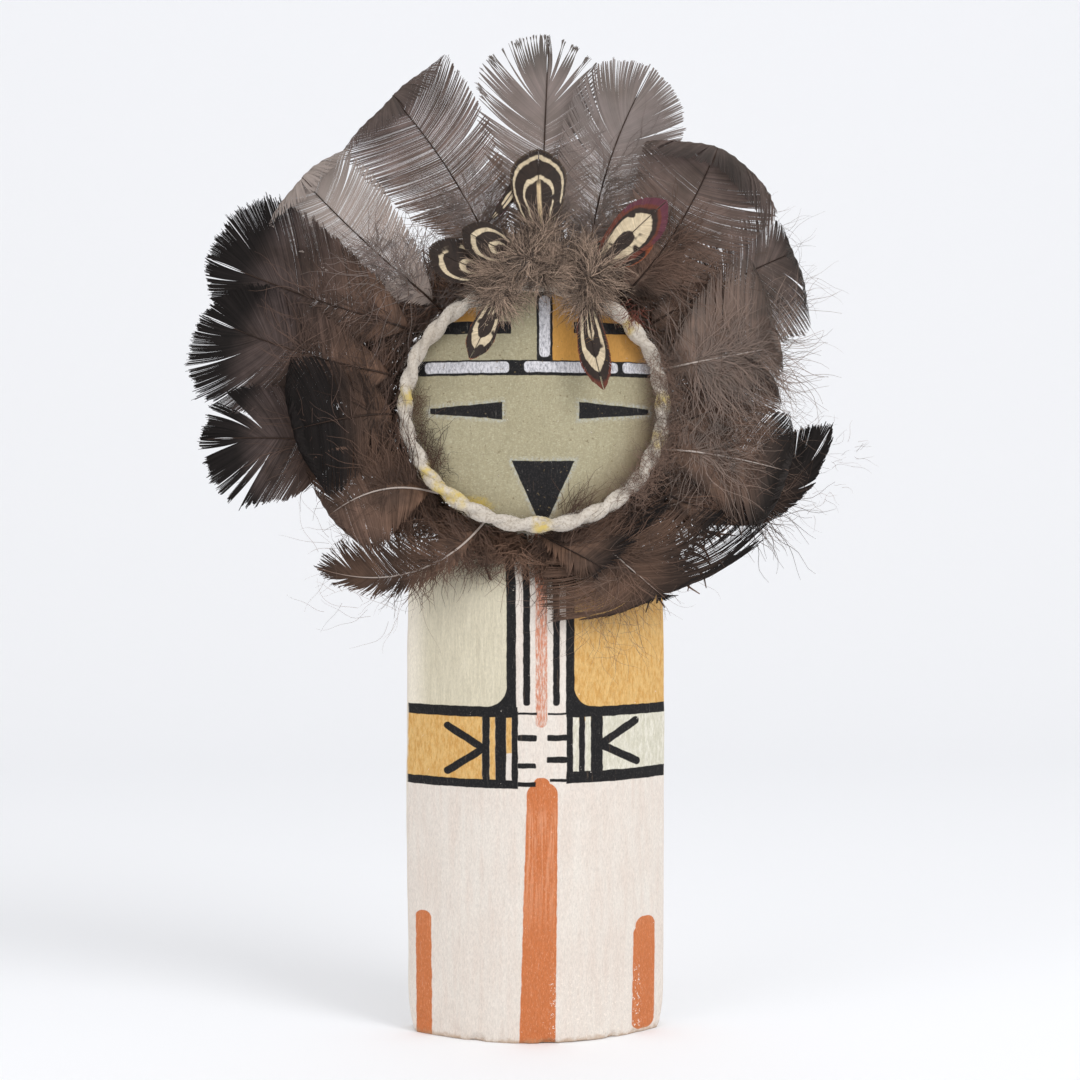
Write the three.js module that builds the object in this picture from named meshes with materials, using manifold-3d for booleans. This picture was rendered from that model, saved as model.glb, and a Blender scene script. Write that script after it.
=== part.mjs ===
// A flat cradle doll: a carved and painted wooden figure with a yarn ring round its face,
// a ruff of plumage feathers behind the ring and a crest of small pheasant feathers above it.
// Millimetres, +Z up. The face looks along -Y. The origin is the centre of the flat underside.

import * as THREE from 'three';
import { mergeVertices } from 'three/addons/utils/BufferGeometryUtils.js';
import Module from 'manifold-3d';

const wasm = await Module();
wasm.setup();

// ---- Driving dimensions -------------------------------------------------------------------

// The wooden figure: a flat back, and a front that is convex from side to side.
const backY = 14;
const body = {
  halfWidth: 36.6, // at the belt
  footHalfWidth: 34.4,
  footHeight: 15, // the sides draw in below this
  beltZ: 84,
  shoulderZ: 131,
  shoulderHalfWidth: 36.1,
  shoulderRadius: 9,
  crestY: -14,
  edgeY: 7,
};
const neck = {
  halfWidth: 23,
  topZ: 165, // inside the head
  crestY: -5,
  slopeLowZ: 122, // the chest starts to fall back here
  slopeHighZ: 137,
};
const head = {
  centreX: -1.7,
  centreZ: 174.8,
  halfWidth: 35.2,
  halfHeight: 33.5,
  crestY: -14,
  edgeY: -4,
  brow: 1.4, // how far the front falls back at the crown and the chin
};

// The yarn: two plies twisted round each other.
const yarn = {
  halfWidth: 35.8, // of the ring's centre line
  halfHeight: 32.8,
  plyRadius: 1.45,
  plyOffset: 0.8,
  turns: 14,
  lift: 3.2, // centre line above the face
};

// The ruff's blades lie in layers on one dished surface round the head.
const ruff = {
  rootGap: 0.5, // between a quill's end and the side of the head
  thickness: 0.8,
  layerPitch: 1.2,
  quillHalfWidth: 0.9,
  tipHalfWidth: 0.6,
  dishStart: 34,
  dishEnd: 46,
  curlStart: 50,
  curlSpan: 50,
  curlDepth: 4,
  atCrown: { rootY: -2, dishY: -8 },
  atSide: { rootY: 6.5, dishY: -3 },
  atChin: { rootY: -5.6, dishY: -15 },
};

// Each ruff feather runs from one angle on the head's edge to a tip, both seen from the face's
// centre, anticlockwise from +X. bow is how far its middle stands to the left of a straight line,
// left and right are the widths of its two sides, peak is where it is widest, and lean is the
// angle between its barbs and its quill.
const ruffFeathers = [
  { name: 'top', root: 88, tip: 88, reach: 102, bow: 0, left: 19, right: 16, peak: 0.6, lean: 60, layer: 0 },
  { name: 'top_right', root: 66, tip: 71, reach: 99, bow: 4, left: 16, right: 16, peak: 0.62, lean: 60, layer: 1 },
  { name: 'top_left', root: 104, tip: 115, reach: 93, bow: -3, left: 21, right: 18, peak: 0.76, lean: 76, layer: 1 },
  { name: 'upper_left', root: 133, tip: 136, reach: 89, bow: 1, left: 15, right: 15, peak: 0.76, lean: 76, layer: 2 },
  { name: 'left_high', root: 146, tip: 156, reach: 98, bow: 1, left: 14, right: 21, peak: 0.62, lean: 62, layer: 3 },
  { name: 'left_middle', root: 167, tip: 165, reach: 94, bow: 2, left: 21, right: 14, peak: 0.62, lean: 64, layer: 4 },
  { name: 'left_low', root: 201, tip: 186, reach: 92, bow: -2, left: 18, right: 14, peak: 0.62, lean: 64, layer: 5 },
  { name: 'left_front', root: 183, tip: 186, reach: 67, bow: -1, left: 20, right: 19, peak: 0.66, lean: 82, layer: 7 },
  { name: 'lower_left', root: 226, tip: 212, reach: 68, bow: 3, left: 10, right: 18, peak: 0.66, lean: 80, layer: 6 },
  { name: 'bottom_left', root: 246, tip: 216, reach: 75, bow: 8, left: 5, right: 11, peak: 0.5, lean: 50, layer: 5 },
  { name: 'bottom_front', root: 271, tip: 289, reach: 50, bow: 0, left: 28, right: 12, peak: 0.6, lean: 66, layer: 4 },
  { name: 'bottom_right', root: 290, tip: 304, reach: 65, bow: 0, left: 23, right: 22, peak: 0.66, lean: 82, layer: 2 },
  { name: 'lower_right', root: 326, tip: 357, reach: 84, bow: -16, left: 14, right: 5, peak: 0.5, lean: 58, layer: 1 },
  { name: 'right_low', root: 342, tip: 346, reach: 73, bow: 1, left: 16, right: 18, peak: 0.62, lean: 70, layer: 3 },
  { name: 'right_curled', root: 352, tip: 8, reach: 66, bow: -2, left: 9, right: 9, peak: 0.7, lean: 70, layer: 4 },
  { name: 'right_front', root: 17, tip: 13, reach: 67, bow: 0, left: 33, right: 10, peak: 0.66, lean: 82, layer: 5 },
  { name: 'right_high', root: 36, tip: 31, reach: 84, bow: 1, left: 14, right: 22, peak: 0.66, lean: 74, layer: 2 },
  { name: 'upper_right', root: 52, tip: 55, reach: 87, bow: -3, left: 19, right: 22, peak: 0.74, lean: 78, layer: 3 },
];

// The crest's blades fan out from a knot of down above the face, in front of the ring.
const crest = {
  thickness: 0.8,
  layerPitch: 1.2,
  quillHalfWidth: 0.6,
  tipHalfWidth: 0.5,
  rootY: -18.6,
  hangDepth: 3.5, // how far a hanging feather stands off by its tip
};

// Places are measured from the face's centre: the quill's root, the way the feather points,
// anticlockwise from +X, its length and its width.
const crestFeathers = [
  { name: 'centre', rootX: 1.5, rootZ: 42.5, heading: 92, length: 27, width: 15, bow: 0, layer: 1 },
  { name: 'thin', rootX: -13.5, rootZ: 50, heading: 55, length: 14, width: 3, bow: 0, layer: 0 },
  { name: 'upper_left', rootX: -2.5, rootZ: 40, heading: 154, length: 18, width: 9, bow: 0.5, layer: 2 },
  { name: 'left', rootX: -9, rootZ: 36, heading: 164, length: 20.5, width: 10.5, bow: 0.5, layer: 0 },
  { name: 'hanging_left', rootX: -8, rootZ: 31, heading: 248, length: 20, width: 6.6, bow: 0, layer: 1 },
  { name: 'hanging_right', rootX: 14.5, rootZ: 32, heading: 280, length: 27, width: 8.4, bow: -1, layer: 0 },
  { name: 'right', rootX: 14, rootZ: 35, heading: 43, length: 29, width: 10, bow: 0.5, layer: 2 },
  { name: 'behind_right', rootX: 8, rootZ: 40, heading: 24, length: 18, width: 8, bow: 0, layer: 0 },
];

// ---- Colours ------------------------------------------------------------------------------

const paintedWood = new THREE.MeshStandardMaterial({ color: 0xd9d0c6, roughness: 0.8, metalness: 0 });
const wool = new THREE.MeshStandardMaterial({ color: 0xcfc8bc, roughness: 0.95, metalness: 0 });
const plumage = new THREE.MeshStandardMaterial({ color: 0x594a43, roughness: 0.75, metalness: 0 });
const pheasant = new THREE.MeshStandardMaterial({ color: 0x8a6a48, roughness: 0.65, metalness: 0 });

// ---- Solids -------------------------------------------------------------------------------

function toSolid(geometry) {
  const bare = geometry.clone();
  bare.deleteAttribute('normal');
  bare.deleteAttribute('uv');
  const merged = mergeVertices(bare, 1e-4);
  const vertProperties = new Float32Array(merged.attributes.position.array);
  const triVerts = new Uint32Array(merged.index.array);
  return new wasm.Manifold(new wasm.Mesh({ numProp: 3, vertProperties, triVerts }));
}

function toGeometry(solid) {
  const mesh = solid.getMesh();
  const geometry = new THREE.BufferGeometry();
  geometry.setAttribute('position', new THREE.BufferAttribute(mesh.vertProperties, 3));
  geometry.setIndex(new THREE.BufferAttribute(mesh.triVerts, 1));
  geometry.computeVertexNormals();
  return geometry;
}

// Moves every vertex of a geometry to where place(x, y, z) says.
function reshape(geometry, place) {
  const position = geometry.attributes.position;
  for (let i = 0; i < position.count; i++) {
    const [x, y, z] = place(position.getX(i), position.getY(i), position.getZ(i));
    position.setXYZ(i, x, y, z);
  }
  geometry.computeVertexNormals();
  return geometry;
}

// An outline drawn in X and Z, as a slab that is thicker than the figure.
function slab(outline, curveSegments) {
  const depth = 4 * backY;
  const geometry = new THREE.ExtrudeGeometry(outline, { depth, bevelEnabled: false, curveSegments });
  geometry.rotateX(Math.PI / 2);
  geometry.translate(0, depth / 2, 0);
  return toSolid(geometry);
}

// A block with a flat back, whose front stands at frontY(x, z).
function carvedBlock(halfWidth, columns, levels, frontY) {
  const rows = levels.length - 1;
  const block = new THREE.BoxGeometry(2 * halfWidth, 1, rows, columns, 1, rows);
  return toSolid(reshape(block, (x, y, z) => {
    const level = levels[Math.round(z + rows / 2)];
    return [x, y > 0 ? backY : frontY(x, level), level];
  }));
}

const smooth = (low, high, value) => THREE.MathUtils.smoothstep(value, low, high);

// ---- Wooden figure ------------------------------------------------------------------------

function bodyOutline() {
  const { halfWidth, footHalfWidth, footHeight, beltZ } = body;
  const { shoulderZ, shoulderHalfWidth, shoulderRadius } = body;
  const rightSide = [
    new THREE.QuadraticBezierCurve(
      new THREE.Vector2(footHalfWidth, 0),
      new THREE.Vector2(shoulderHalfWidth, footHeight / 3),
      new THREE.Vector2(shoulderHalfWidth, footHeight),
    ),
    new THREE.QuadraticBezierCurve(
      new THREE.Vector2(shoulderHalfWidth, footHeight),
      new THREE.Vector2(2 * halfWidth - shoulderHalfWidth, beltZ),
      new THREE.Vector2(shoulderHalfWidth, shoulderZ - shoulderRadius),
    ),
    new THREE.QuadraticBezierCurve(
      new THREE.Vector2(shoulderHalfWidth, shoulderZ - shoulderRadius),
      new THREE.Vector2(shoulderHalfWidth, shoulderZ),
      new THREE.Vector2(shoulderHalfWidth - shoulderRadius, shoulderZ),
    ),
    new THREE.QuadraticBezierCurve(
      new THREE.Vector2(shoulderHalfWidth - shoulderRadius, shoulderZ),
      new THREE.Vector2(neck.halfWidth, shoulderZ),
      new THREE.Vector2(neck.halfWidth, neck.slopeHighZ),
    ),
  ];
  const steps = 6;
  const right = rightSide.flatMap((curve) => curve.getPoints(steps));
  right.push(new THREE.Vector2(neck.halfWidth, neck.topZ));
  const left = right.map((point) => new THREE.Vector2(-point.x, point.y)).reverse();
  return new THREE.Shape([...right, ...left]);
}

function chestY(x, z) {
  const crest = THREE.MathUtils.lerp(body.crestY, neck.crestY, smooth(neck.slopeLowZ, neck.slopeHighZ, z));
  return crest + (body.edgeY - body.crestY) * (x / body.halfWidth) ** 2;
}

function faceY(x, z) {
  const across = (x - head.centreX) / head.halfWidth;
  const up = (z - head.centreZ) / head.halfHeight;
  return head.crestY + (head.edgeY - head.crestY) * across ** 2 + head.brow * up ** 4;
}

function woodenFigure() {
  const margin = 4;
  const bodyLevels = [-1, neck.slopeLowZ];
  for (let z = neck.slopeLowZ + 2.5; z <= neck.slopeHighZ; z += 2.5) {
    bodyLevels.push(z);
  }
  bodyLevels.push(neck.topZ + 1);
  const bodySolid = slab(bodyOutline(), 1).intersect(
    carvedBlock(body.halfWidth + margin, 24, bodyLevels, chestY),
  );

  const headOutline = new THREE.Shape();
  headOutline.absellipse(head.centreX, head.centreZ, head.halfWidth, head.halfHeight, 0, 2 * Math.PI);
  const headLevels = [];
  const headRows = 12;
  for (let row = 0; row <= headRows; row++) {
    const along = (2 * row) / headRows - 1;
    headLevels.push(head.centreZ + (head.halfHeight + 1) * along);
  }
  const headSolid = slab(headOutline, 28).intersect(
    carvedBlock(head.halfWidth + margin, 24, headLevels, faceY),
  );
  return toGeometry(bodySolid.add(headSolid));
}

// ---- Yarn ring ----------------------------------------------------------------------------

function yarnRing() {
  const around = 8 * yarn.turns;
  const unit = new THREE.TorusGeometry(2, 1, 8, around);
  return reshape(unit, (x, y, z) => {
    const along = Math.atan2(y, x);
    const section = Math.atan2(z, Math.hypot(x, y) - 2);
    const twisted = section - yarn.turns * along;
    const offAxis = yarn.plyOffset * Math.sin(twisted);
    const radius = yarn.plyOffset * Math.abs(Math.cos(twisted)) + Math.sqrt(yarn.plyRadius ** 2 - offAxis ** 2);
    const outward = radius * Math.cos(section);
    const lineX = head.centreX + yarn.halfWidth * Math.cos(along);
    const lineZ = head.centreZ + yarn.halfHeight * Math.sin(along);
    const lineY = faceY(lineX, lineZ) - yarn.lift;
    return [
      lineX + outward * Math.cos(along),
      lineY - radius * Math.sin(section),
      lineZ + outward * Math.sin(along),
    ];
  });
}

// ---- Feathers -----------------------------------------------------------------------------

// The dished surface that the ruff's back layer lies on.
function ruffY(x, z) {
  const dx = x - head.centreX;
  const dz = z - head.centreZ;
  const radius = Math.hypot(dx, dz);
  const up = Math.max(dz, 0) / radius;
  const down = Math.max(-dz, 0) / radius;
  const across = dx / radius;
  const mix = (key) =>
    ruff.atCrown[key] * up ** 2 + ruff.atSide[key] * across ** 2 + ruff.atChin[key] * down ** 2;
  const dished = smooth(ruff.dishStart, ruff.dishEnd, radius);
  const curl = Math.max(radius - ruff.curlStart, 0) / ruff.curlSpan;
  return THREE.MathUtils.lerp(mix('rootY'), mix('dishY'), dished) - ruff.curlDepth * curl ** 2;
}

// A feather's width along its quill, from 0 to 1: it opens quickly from the bare quill, is
// widest at the peak and closes in a round end.
function spread(along, peak) {
  const bare = 0.08;
  const fullness = 0.6;
  if (along < peak) {
    const opening = THREE.MathUtils.clamp((along - bare) / (peak - bare), 0, 1);
    return Math.sin((Math.PI / 2) * opening) ** fullness;
  }
  return 1 - ((along - peak) / (1 - peak)) ** 2;
}

// A thin blade round a quill. The quill is a curve in X and Z, and depthAt(x, z, along) is Y.
function blade(quill, shape, depthAt) {
  const { left, right, peak, lean, thickness, quillHalfWidth, tipHalfWidth, rows } = shape;
  const block = new THREE.BoxGeometry(2, thickness, 1, 4, 1, rows);
  return reshape(block, (across, y, z) => {
    const along = z + 0.5;
    const point = quill.getPoint(along);
    const ahead = quill.getTangent(along);
    const widest = across < 0 ? left : right;
    const least = THREE.MathUtils.lerp(quillHalfWidth, tipHalfWidth, along);
    const halfWidth = Math.max(widest * spread(along, peak), least);
    const forward = (Math.abs(across) * (halfWidth - least)) / Math.tan(THREE.MathUtils.degToRad(lean));
    const px = point.x + across * halfWidth * ahead.y + forward * ahead.x;
    const pz = point.y - across * halfWidth * ahead.x + forward * ahead.y;
    return [px, depthAt(px, pz, along) + y, pz];
  });
}

function bowed(root, tip, bow) {
  const middle = root.clone().add(tip).multiplyScalar(0.5);
  const way = tip.clone().sub(root).normalize();
  middle.x -= 2 * bow * way.y;
  middle.y += 2 * bow * way.x;
  return new THREE.QuadraticBezierCurve(root, middle, tip);
}

function ruffFeather(feather) {
  const rootAngle = THREE.MathUtils.degToRad(feather.root);
  const tipAngle = THREE.MathUtils.degToRad(feather.tip);
  const edge = 1 / Math.hypot(Math.cos(rootAngle) / head.halfWidth, Math.sin(rootAngle) / head.halfHeight);
  const rootRadius = edge + ruff.rootGap + ruff.quillHalfWidth;
  const root = new THREE.Vector2(
    head.centreX + rootRadius * Math.cos(rootAngle),
    head.centreZ + rootRadius * Math.sin(rootAngle),
  );
  const tip = new THREE.Vector2(
    head.centreX + feather.reach * Math.cos(tipAngle),
    head.centreZ + feather.reach * Math.sin(tipAngle),
  );
  const shape = { ...ruff, ...feather, rows: 10 };
  return blade(bowed(root, tip, feather.bow), shape, (x, z) => ruffY(x, z) - feather.layer * ruff.layerPitch);
}

function crestFeather(feather) {
  const heading = THREE.MathUtils.degToRad(feather.heading);
  const root = new THREE.Vector2(head.centreX + feather.rootX, head.centreZ + feather.rootZ);
  const tip = new THREE.Vector2(
    root.x + feather.length * Math.cos(heading),
    root.y + feather.length * Math.sin(heading),
  );
  const half = feather.width / 2;
  const shape = { ...crest, left: half, right: half, peak: 0.68, lean: 50, rows: 8 };
  const hang = Math.max(-Math.sin(heading), 0) * crest.hangDepth;
  return blade(bowed(root, tip, feather.bow), shape, (x, z, along) =>
    crest.rootY - feather.layer * crest.layerPitch - hang * along);
}

// ---- Assembly -----------------------------------------------------------------------------

const doll = new THREE.Group();

function addPart(name, geometry, material) {
  const mesh = new THREE.Mesh(geometry, material.clone());
  mesh.name = name;
  doll.add(mesh);
}

addPart('wooden_figure', woodenFigure(), paintedWood);
addPart('yarn_ring', yarnRing(), wool);
for (const feather of ruffFeathers) {
  addPart(`ruff_feather_${feather.name}`, ruffFeather(feather), plumage);
}
for (const feather of crestFeathers) {
  addPart(`crest_feather_${feather.name}`, crestFeather(feather), pheasant);
}

export default doll;
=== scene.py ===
"""Looks of the flat cradle doll: painted wood, a wool ring, a ruff of plumage and a crest.

Sizes are millimetres in the CAD model's frame, unless a comment says otherwise. MM makes them metres.
"""
import math

import bpy
import numpy as np
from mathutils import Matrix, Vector


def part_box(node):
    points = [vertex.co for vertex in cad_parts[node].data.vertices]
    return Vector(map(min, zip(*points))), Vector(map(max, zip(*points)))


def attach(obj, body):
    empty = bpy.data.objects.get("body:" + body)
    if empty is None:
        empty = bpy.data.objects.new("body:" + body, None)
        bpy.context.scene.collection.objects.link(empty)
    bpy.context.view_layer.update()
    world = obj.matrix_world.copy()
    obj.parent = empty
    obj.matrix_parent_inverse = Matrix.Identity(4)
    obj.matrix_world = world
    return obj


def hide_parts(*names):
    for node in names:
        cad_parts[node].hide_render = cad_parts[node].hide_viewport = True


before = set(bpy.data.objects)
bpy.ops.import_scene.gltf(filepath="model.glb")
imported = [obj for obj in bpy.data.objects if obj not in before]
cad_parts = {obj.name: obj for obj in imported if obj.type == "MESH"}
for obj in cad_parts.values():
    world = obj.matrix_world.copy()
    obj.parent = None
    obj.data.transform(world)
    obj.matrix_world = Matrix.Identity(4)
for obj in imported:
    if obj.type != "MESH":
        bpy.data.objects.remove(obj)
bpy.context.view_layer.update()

MM = 0.001
SEED = 20
FORWARD = np.array((0.0, -1.0, 0.0))  # the way the face looks

# ---- Sizes that the CAD model gives ----

_, wood_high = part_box("wooden_figure")
HALF_WIDTH = wood_high.x / MM
ring_low, ring_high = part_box("yarn_ring")
PLY_RADIUS, PLY_OFFSET = 1.45, 0.8
RING_TUBE = PLY_RADIUS + PLY_OFFSET
HEAD_X = (ring_low.x + ring_high.x) / 2 / MM
HEAD_Z = (ring_low.z + ring_high.z) / 2 / MM
RING_HALF_WIDTH = (ring_high.x - ring_low.x) / 2 / MM - RING_TUBE
RING_HALF_HEIGHT = (ring_high.z - ring_low.z) / 2 / MM - RING_TUBE
HEAD_HALF_WIDTH = RING_HALF_WIDTH - 0.6
HEAD_HALF_HEIGHT = RING_HALF_HEIGHT + 0.7

# ---- Camera, floor and light ----

EYE_HEIGHT, EYE_DISTANCE = 138, 630
EYE_TURN = math.radians(4.9)
EYE_AIM_X = 0.4


def add_object(name, data):
    added = bpy.data.objects.new(name, data)
    bpy.context.scene.collection.objects.link(added)
    return added


def make_camera():
    data = bpy.data.cameras.new("camera")
    data.lens, data.sensor_width = 75, 36
    camera = add_object("camera", data)
    way = Vector((math.sin(EYE_TURN), math.cos(EYE_TURN), 0))
    camera.location = (Vector((EYE_AIM_X, 0, EYE_HEIGHT)) - way * EYE_DISTANCE) * MM
    camera.rotation_euler = (math.radians(90), 0, -EYE_TURN)
    bpy.context.scene.camera = camera


def make_floor():
    """A floor that curves up into a backdrop. Its sizes are metres."""
    front, bend, corner, height, half_width, steps = -1.6, 0.75, 0.6, 2.2, 2.4, 12
    turns = [math.radians(90) * step / steps for step in range(steps + 1)]
    curve = [(bend + corner * math.sin(turn), corner * (1 - math.cos(turn))) for turn in turns]
    profile = [(front, 0.0), *curve, (bend + corner, height)]
    points = [(side * half_width, y, z) for y, z in profile for side in (-1, 1)]
    faces = [(2 * i, 2 * i + 1, 2 * i + 3, 2 * i + 2) for i in range(len(profile) - 1)]
    mesh = bpy.data.meshes.new("floor")
    mesh.from_pydata(points, [], faces)
    for polygon in mesh.polygons:
        polygon.use_smooth = True
    mesh.materials.append(new_material("floor", (246, 247, 250), 0.9)[0])
    add_object("floor", mesh)


def area_light(name, place, size, power, colour=(1, 1, 1)):
    """A round lamp that points at the middle of the doll. Its sizes are metres."""
    data = bpy.data.lights.new(name, "AREA")
    data.shape, data.size, data.energy, data.color = "DISK", size, power, colour
    light = add_object(name, data)
    light.location = place
    aim = Vector((0, 0, 0.14)) - Vector(place)
    light.rotation_euler = aim.to_track_quat("-Z", "Y").to_euler()


def make_light():
    area_light("key", (0.75, -0.95, 0.95), 0.7, 8.0)
    area_light("fill", (-0.95, -0.9, 0.6), 0.9, 3.0, (1, 0.98, 0.97))
    world = bpy.data.worlds.new("studio")
    world.use_nodes = True
    background = world.node_tree.nodes["Background"]
    background.inputs["Color"].default_value = (1, 1, 1, 1)
    background.inputs["Strength"].default_value = 0.80
    bpy.context.scene.world = world
    bpy.context.scene.view_settings.view_transform = "Standard"


# ---- Helpers for materials ----


def linear(red, green, blue):
    """A colour given on the usual 0 to 255 scale, as the shader wants it."""
    return [
        value / 255 / 12.92 if value <= 10 else ((value / 255 + 0.055) / 1.055) ** 2.4
        for value in (red, green, blue)
    ] + [1.0]


def new_material(name, colour, roughness):
    material = bpy.data.materials.new(name)
    material.use_nodes = True
    shader = material.node_tree.nodes["Principled BSDF"]
    shader.inputs["Base Color"].default_value = linear(*colour)
    shader.inputs["Roughness"].default_value = roughness
    return material, shader


class Graph:
    """Adds nodes to a node tree by name, with plain values or other nodes' outputs as inputs."""

    def __init__(self, tree):
        self.tree = tree

    def add(self, kind, inputs=(), output=0, **settings):
        node = self.tree.nodes.new(kind)
        for key, value in settings.items():
            setattr(node, key, value)
        for key, value in dict(inputs).items():
            self.feed(node.inputs[key], value)
        return node.outputs[output]

    def feed(self, socket, value):
        if isinstance(value, bpy.types.NodeSocket):
            self.tree.links.new(value, socket)
        else:
            socket.default_value = value

    def math(self, operation, *values):
        return self.add("ShaderNodeMath", enumerate(values), operation=operation)

    def times(self, first, second):
        return self.math("MULTIPLY", first, second)

    def minus(self, first, second):
        return self.math("SUBTRACT", first, second)

    def vector(self, operation, *values, output=0):
        return self.add("ShaderNodeVectorMath", enumerate(values), output, operation=operation)

    def scaled(self, value, factor):
        result = self.vector("SCALE", value)
        self.feed(result.node.inputs["Scale"], factor)
        return result

    def mix(self, share, low, high):
        """A colour between low and high. A tuple is a colour on the 0 to 255 scale."""
        low, high = (linear(*value) if isinstance(value, tuple) else value for value in (low, high))
        return self.add("ShaderNodeMix", {0: share, 6: low, 7: high}, 2, data_type="RGBA")

    def coat(self, under, share, colour, strength=None):
        """The colour under, with another laid on it by share times strength."""
        return self.mix(share if strength is None else self.times(share, strength), under, colour)

    def ramp(self, value, low, high):
        """0 below low, 1 above high, smooth between them."""
        values = {"Value": value, "From Min": low, "From Max": high}
        return self.add("ShaderNodeMapRange", values, interpolation_type="SMOOTHSTEP")

    def between(self, value, low, high, at_low, at_high):
        """A straight line from at_low, where the value is low, to at_high."""
        values = {"Value": value, "From Min": low, "From Max": high, "To Min": at_low, "To Max": at_high}
        return self.add("ShaderNodeMapRange", values)

    def noise(self, place, scale, detail=3.0, roughness=0.55):
        values = {"Vector": place, "Scale": scale, "Detail": detail, "Roughness": roughness}
        return self.add("ShaderNodeTexNoise", values)

    def axes(self, value):
        return self.add("ShaderNodeSeparateXYZ", {0: value}).node.outputs

    def attribute(self, name):
        return self.add("ShaderNodeAttribute", output="Fac", attribute_name=name)

    def metres(self):
        return self.add("ShaderNodeTexCoord", output="Object")


# ---- Helpers for meshes ----


def smoothstep(low, high, value):
    share = np.clip((np.asarray(value, float) - low) / (high - low), 0, 1)
    return share * share * (3 - 2 * share)


def quad_mesh(name, points, quads, layers, uv):
    """A smooth mesh of quads. layers maps an attribute's name to its values."""
    mesh = bpy.data.meshes.new(name)
    mesh.vertices.add(len(points))
    mesh.vertices.foreach_set("co", (np.asarray(points) * MM).astype(np.float32).ravel())
    mesh.loops.add(quads.size)
    mesh.loops.foreach_set("vertex_index", quads.astype(np.int32).ravel())
    mesh.polygons.add(len(quads))
    mesh.polygons.foreach_set("loop_start", np.arange(0, quads.size, 4, dtype=np.int32))
    mesh.polygons.foreach_set("use_smooth", np.ones(len(quads), bool))
    for key, values in layers.items():
        attribute = mesh.attributes.new(key, "FLOAT", "POINT")
        attribute.data.foreach_set("value", np.asarray(values, np.float32).ravel())
    layer = mesh.uv_layers.new(name="OFBake")
    layer.data.foreach_set("uv", np.asarray(uv, np.float32)[quads.ravel()].ravel())
    mesh.update(calc_edges=True)
    return mesh


def place_piece(name, mesh, material, slot, *nodes):
    piece = add_object(name, mesh)
    mesh.materials.clear()
    mesh.materials.append(material)
    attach(piece, "root")
    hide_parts(*nodes)


class Strands:
    """Collects ribbons and tubes, which become one mesh. flat is their layout for the texture."""

    def __init__(self):
        self.points, self.quads, self.layers, self.flat = [], [], [], []
        self.count = 0

    def store(self, points, quads, layers, flat):
        self.points.append(points)
        self.quads.append(quads + self.count)
        self.layers.append(layers)
        self.flat.append(flat)
        self.count += len(points)

    def ribbons(self, lines, widths, facing, layers, flat):
        """lines is (n, k, 3). widths and layers' values are (n, k). facing is the ribbons' normal."""
        n, k, _ = lines.shape
        across = np.cross(np.gradient(lines, axis=1), facing)
        across /= np.maximum(np.linalg.norm(across, axis=2, keepdims=True), 1e-9)
        half = across * widths[..., None] / 2
        points = np.stack([lines - half, lines + half], axis=2).reshape(-1, 3)
        start = (np.arange(n)[:, None] * k + np.arange(k - 1)[None]) * 2
        quads = np.stack([start, start + 1, start + 3, start + 2], axis=-1).reshape(-1, 4)
        doubled = {key: np.repeat(value.reshape(-1), 2) for key, value in layers.items()}
        self.store(points, quads, doubled, np.repeat(flat.reshape(-1, 2), 2, axis=0))

    def tube(self, line, radii, layers, flat, sides=6):
        """line is (k, 3) and radii is (k,)."""
        ahead = np.gradient(line, axis=0)
        ahead /= np.linalg.norm(ahead, axis=1, keepdims=True)
        first = np.cross(ahead, -FORWARD)
        first /= np.linalg.norm(first, axis=1, keepdims=True)
        second = np.cross(ahead, first)
        angle = (np.arange(sides) * 2 * math.pi / sides)[None, :, None]
        ring = first[:, None] * np.cos(angle) + second[:, None] * np.sin(angle)
        points = (line[:, None] + ring * radii[:, None, None]).reshape(-1, 3)
        row = np.arange(len(line) - 1)[:, None] * sides
        here = np.arange(sides)[None]
        beside = (here + 1) % sides
        corners = [row + here, row + beside, row + sides + beside, row + sides + here]
        quads = np.stack(corners, axis=-1).reshape(-1, 4)
        spread_out = {key: np.repeat(value, sides) for key, value in layers.items()}
        self.store(points, quads, spread_out, np.repeat(flat, sides, axis=0))

    def mesh(self, name):
        layers = {key: np.concatenate([layer[key] for layer in self.layers]) for key in self.layers[0]}
        flat = np.concatenate(self.flat)
        low, high = flat.min(axis=0), flat.max(axis=0)
        uv = (flat - low) / (high - low).max()
        return quad_mesh(name, np.concatenate(self.points), np.concatenate(self.quads), layers, uv)


# ---- Wooden figure: shape ----

VOXEL = 0.85
TOOL_MARKS = ((0.10, 12, 14), (0.05, 14, 5))  # height, how many waves and their length
FOOT_WEAR, FOOT_HEIGHT = 0.9, 7


def carve_wood(name):
    """The figure, remeshed finely, with softened edges."""
    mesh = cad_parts["wooden_figure"].data.copy()
    mesh.name = name
    piece = add_object(name, mesh)
    modifier = piece.modifiers.new("remesh", "REMESH")
    modifier.mode = "VOXEL"
    modifier.voxel_size = VOXEL * MM
    modifier.use_smooth_shade = True
    smooth = piece.modifiers.new("smooth", "SMOOTH")
    smooth.factor, smooth.iterations = 0.5, 4
    graph = bpy.context.evaluated_depsgraph_get()
    shaped = bpy.data.meshes.new_from_object(piece.evaluated_get(graph))
    bpy.data.objects.remove(piece)
    return shaped


def waves(points, seed, count, wavelength):
    """A smooth random field between about -1 and 1 at the given points."""
    rng = np.random.default_rng(seed)
    total = np.zeros(len(points))
    for _ in range(count):
        way = rng.normal(size=3)
        way *= 2 * math.pi / (np.linalg.norm(way) * rng.uniform(0.7, 1.4) * wavelength)
        total += np.sin(points @ way + rng.uniform(0, 2 * math.pi))
    return total / math.sqrt(count)


def vectors(mesh, name):
    values = np.empty(len(mesh.vertices) * 3, np.float32)
    mesh.vertices.foreach_get(name, values)
    return values.reshape(-1, 3).astype(float)


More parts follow.
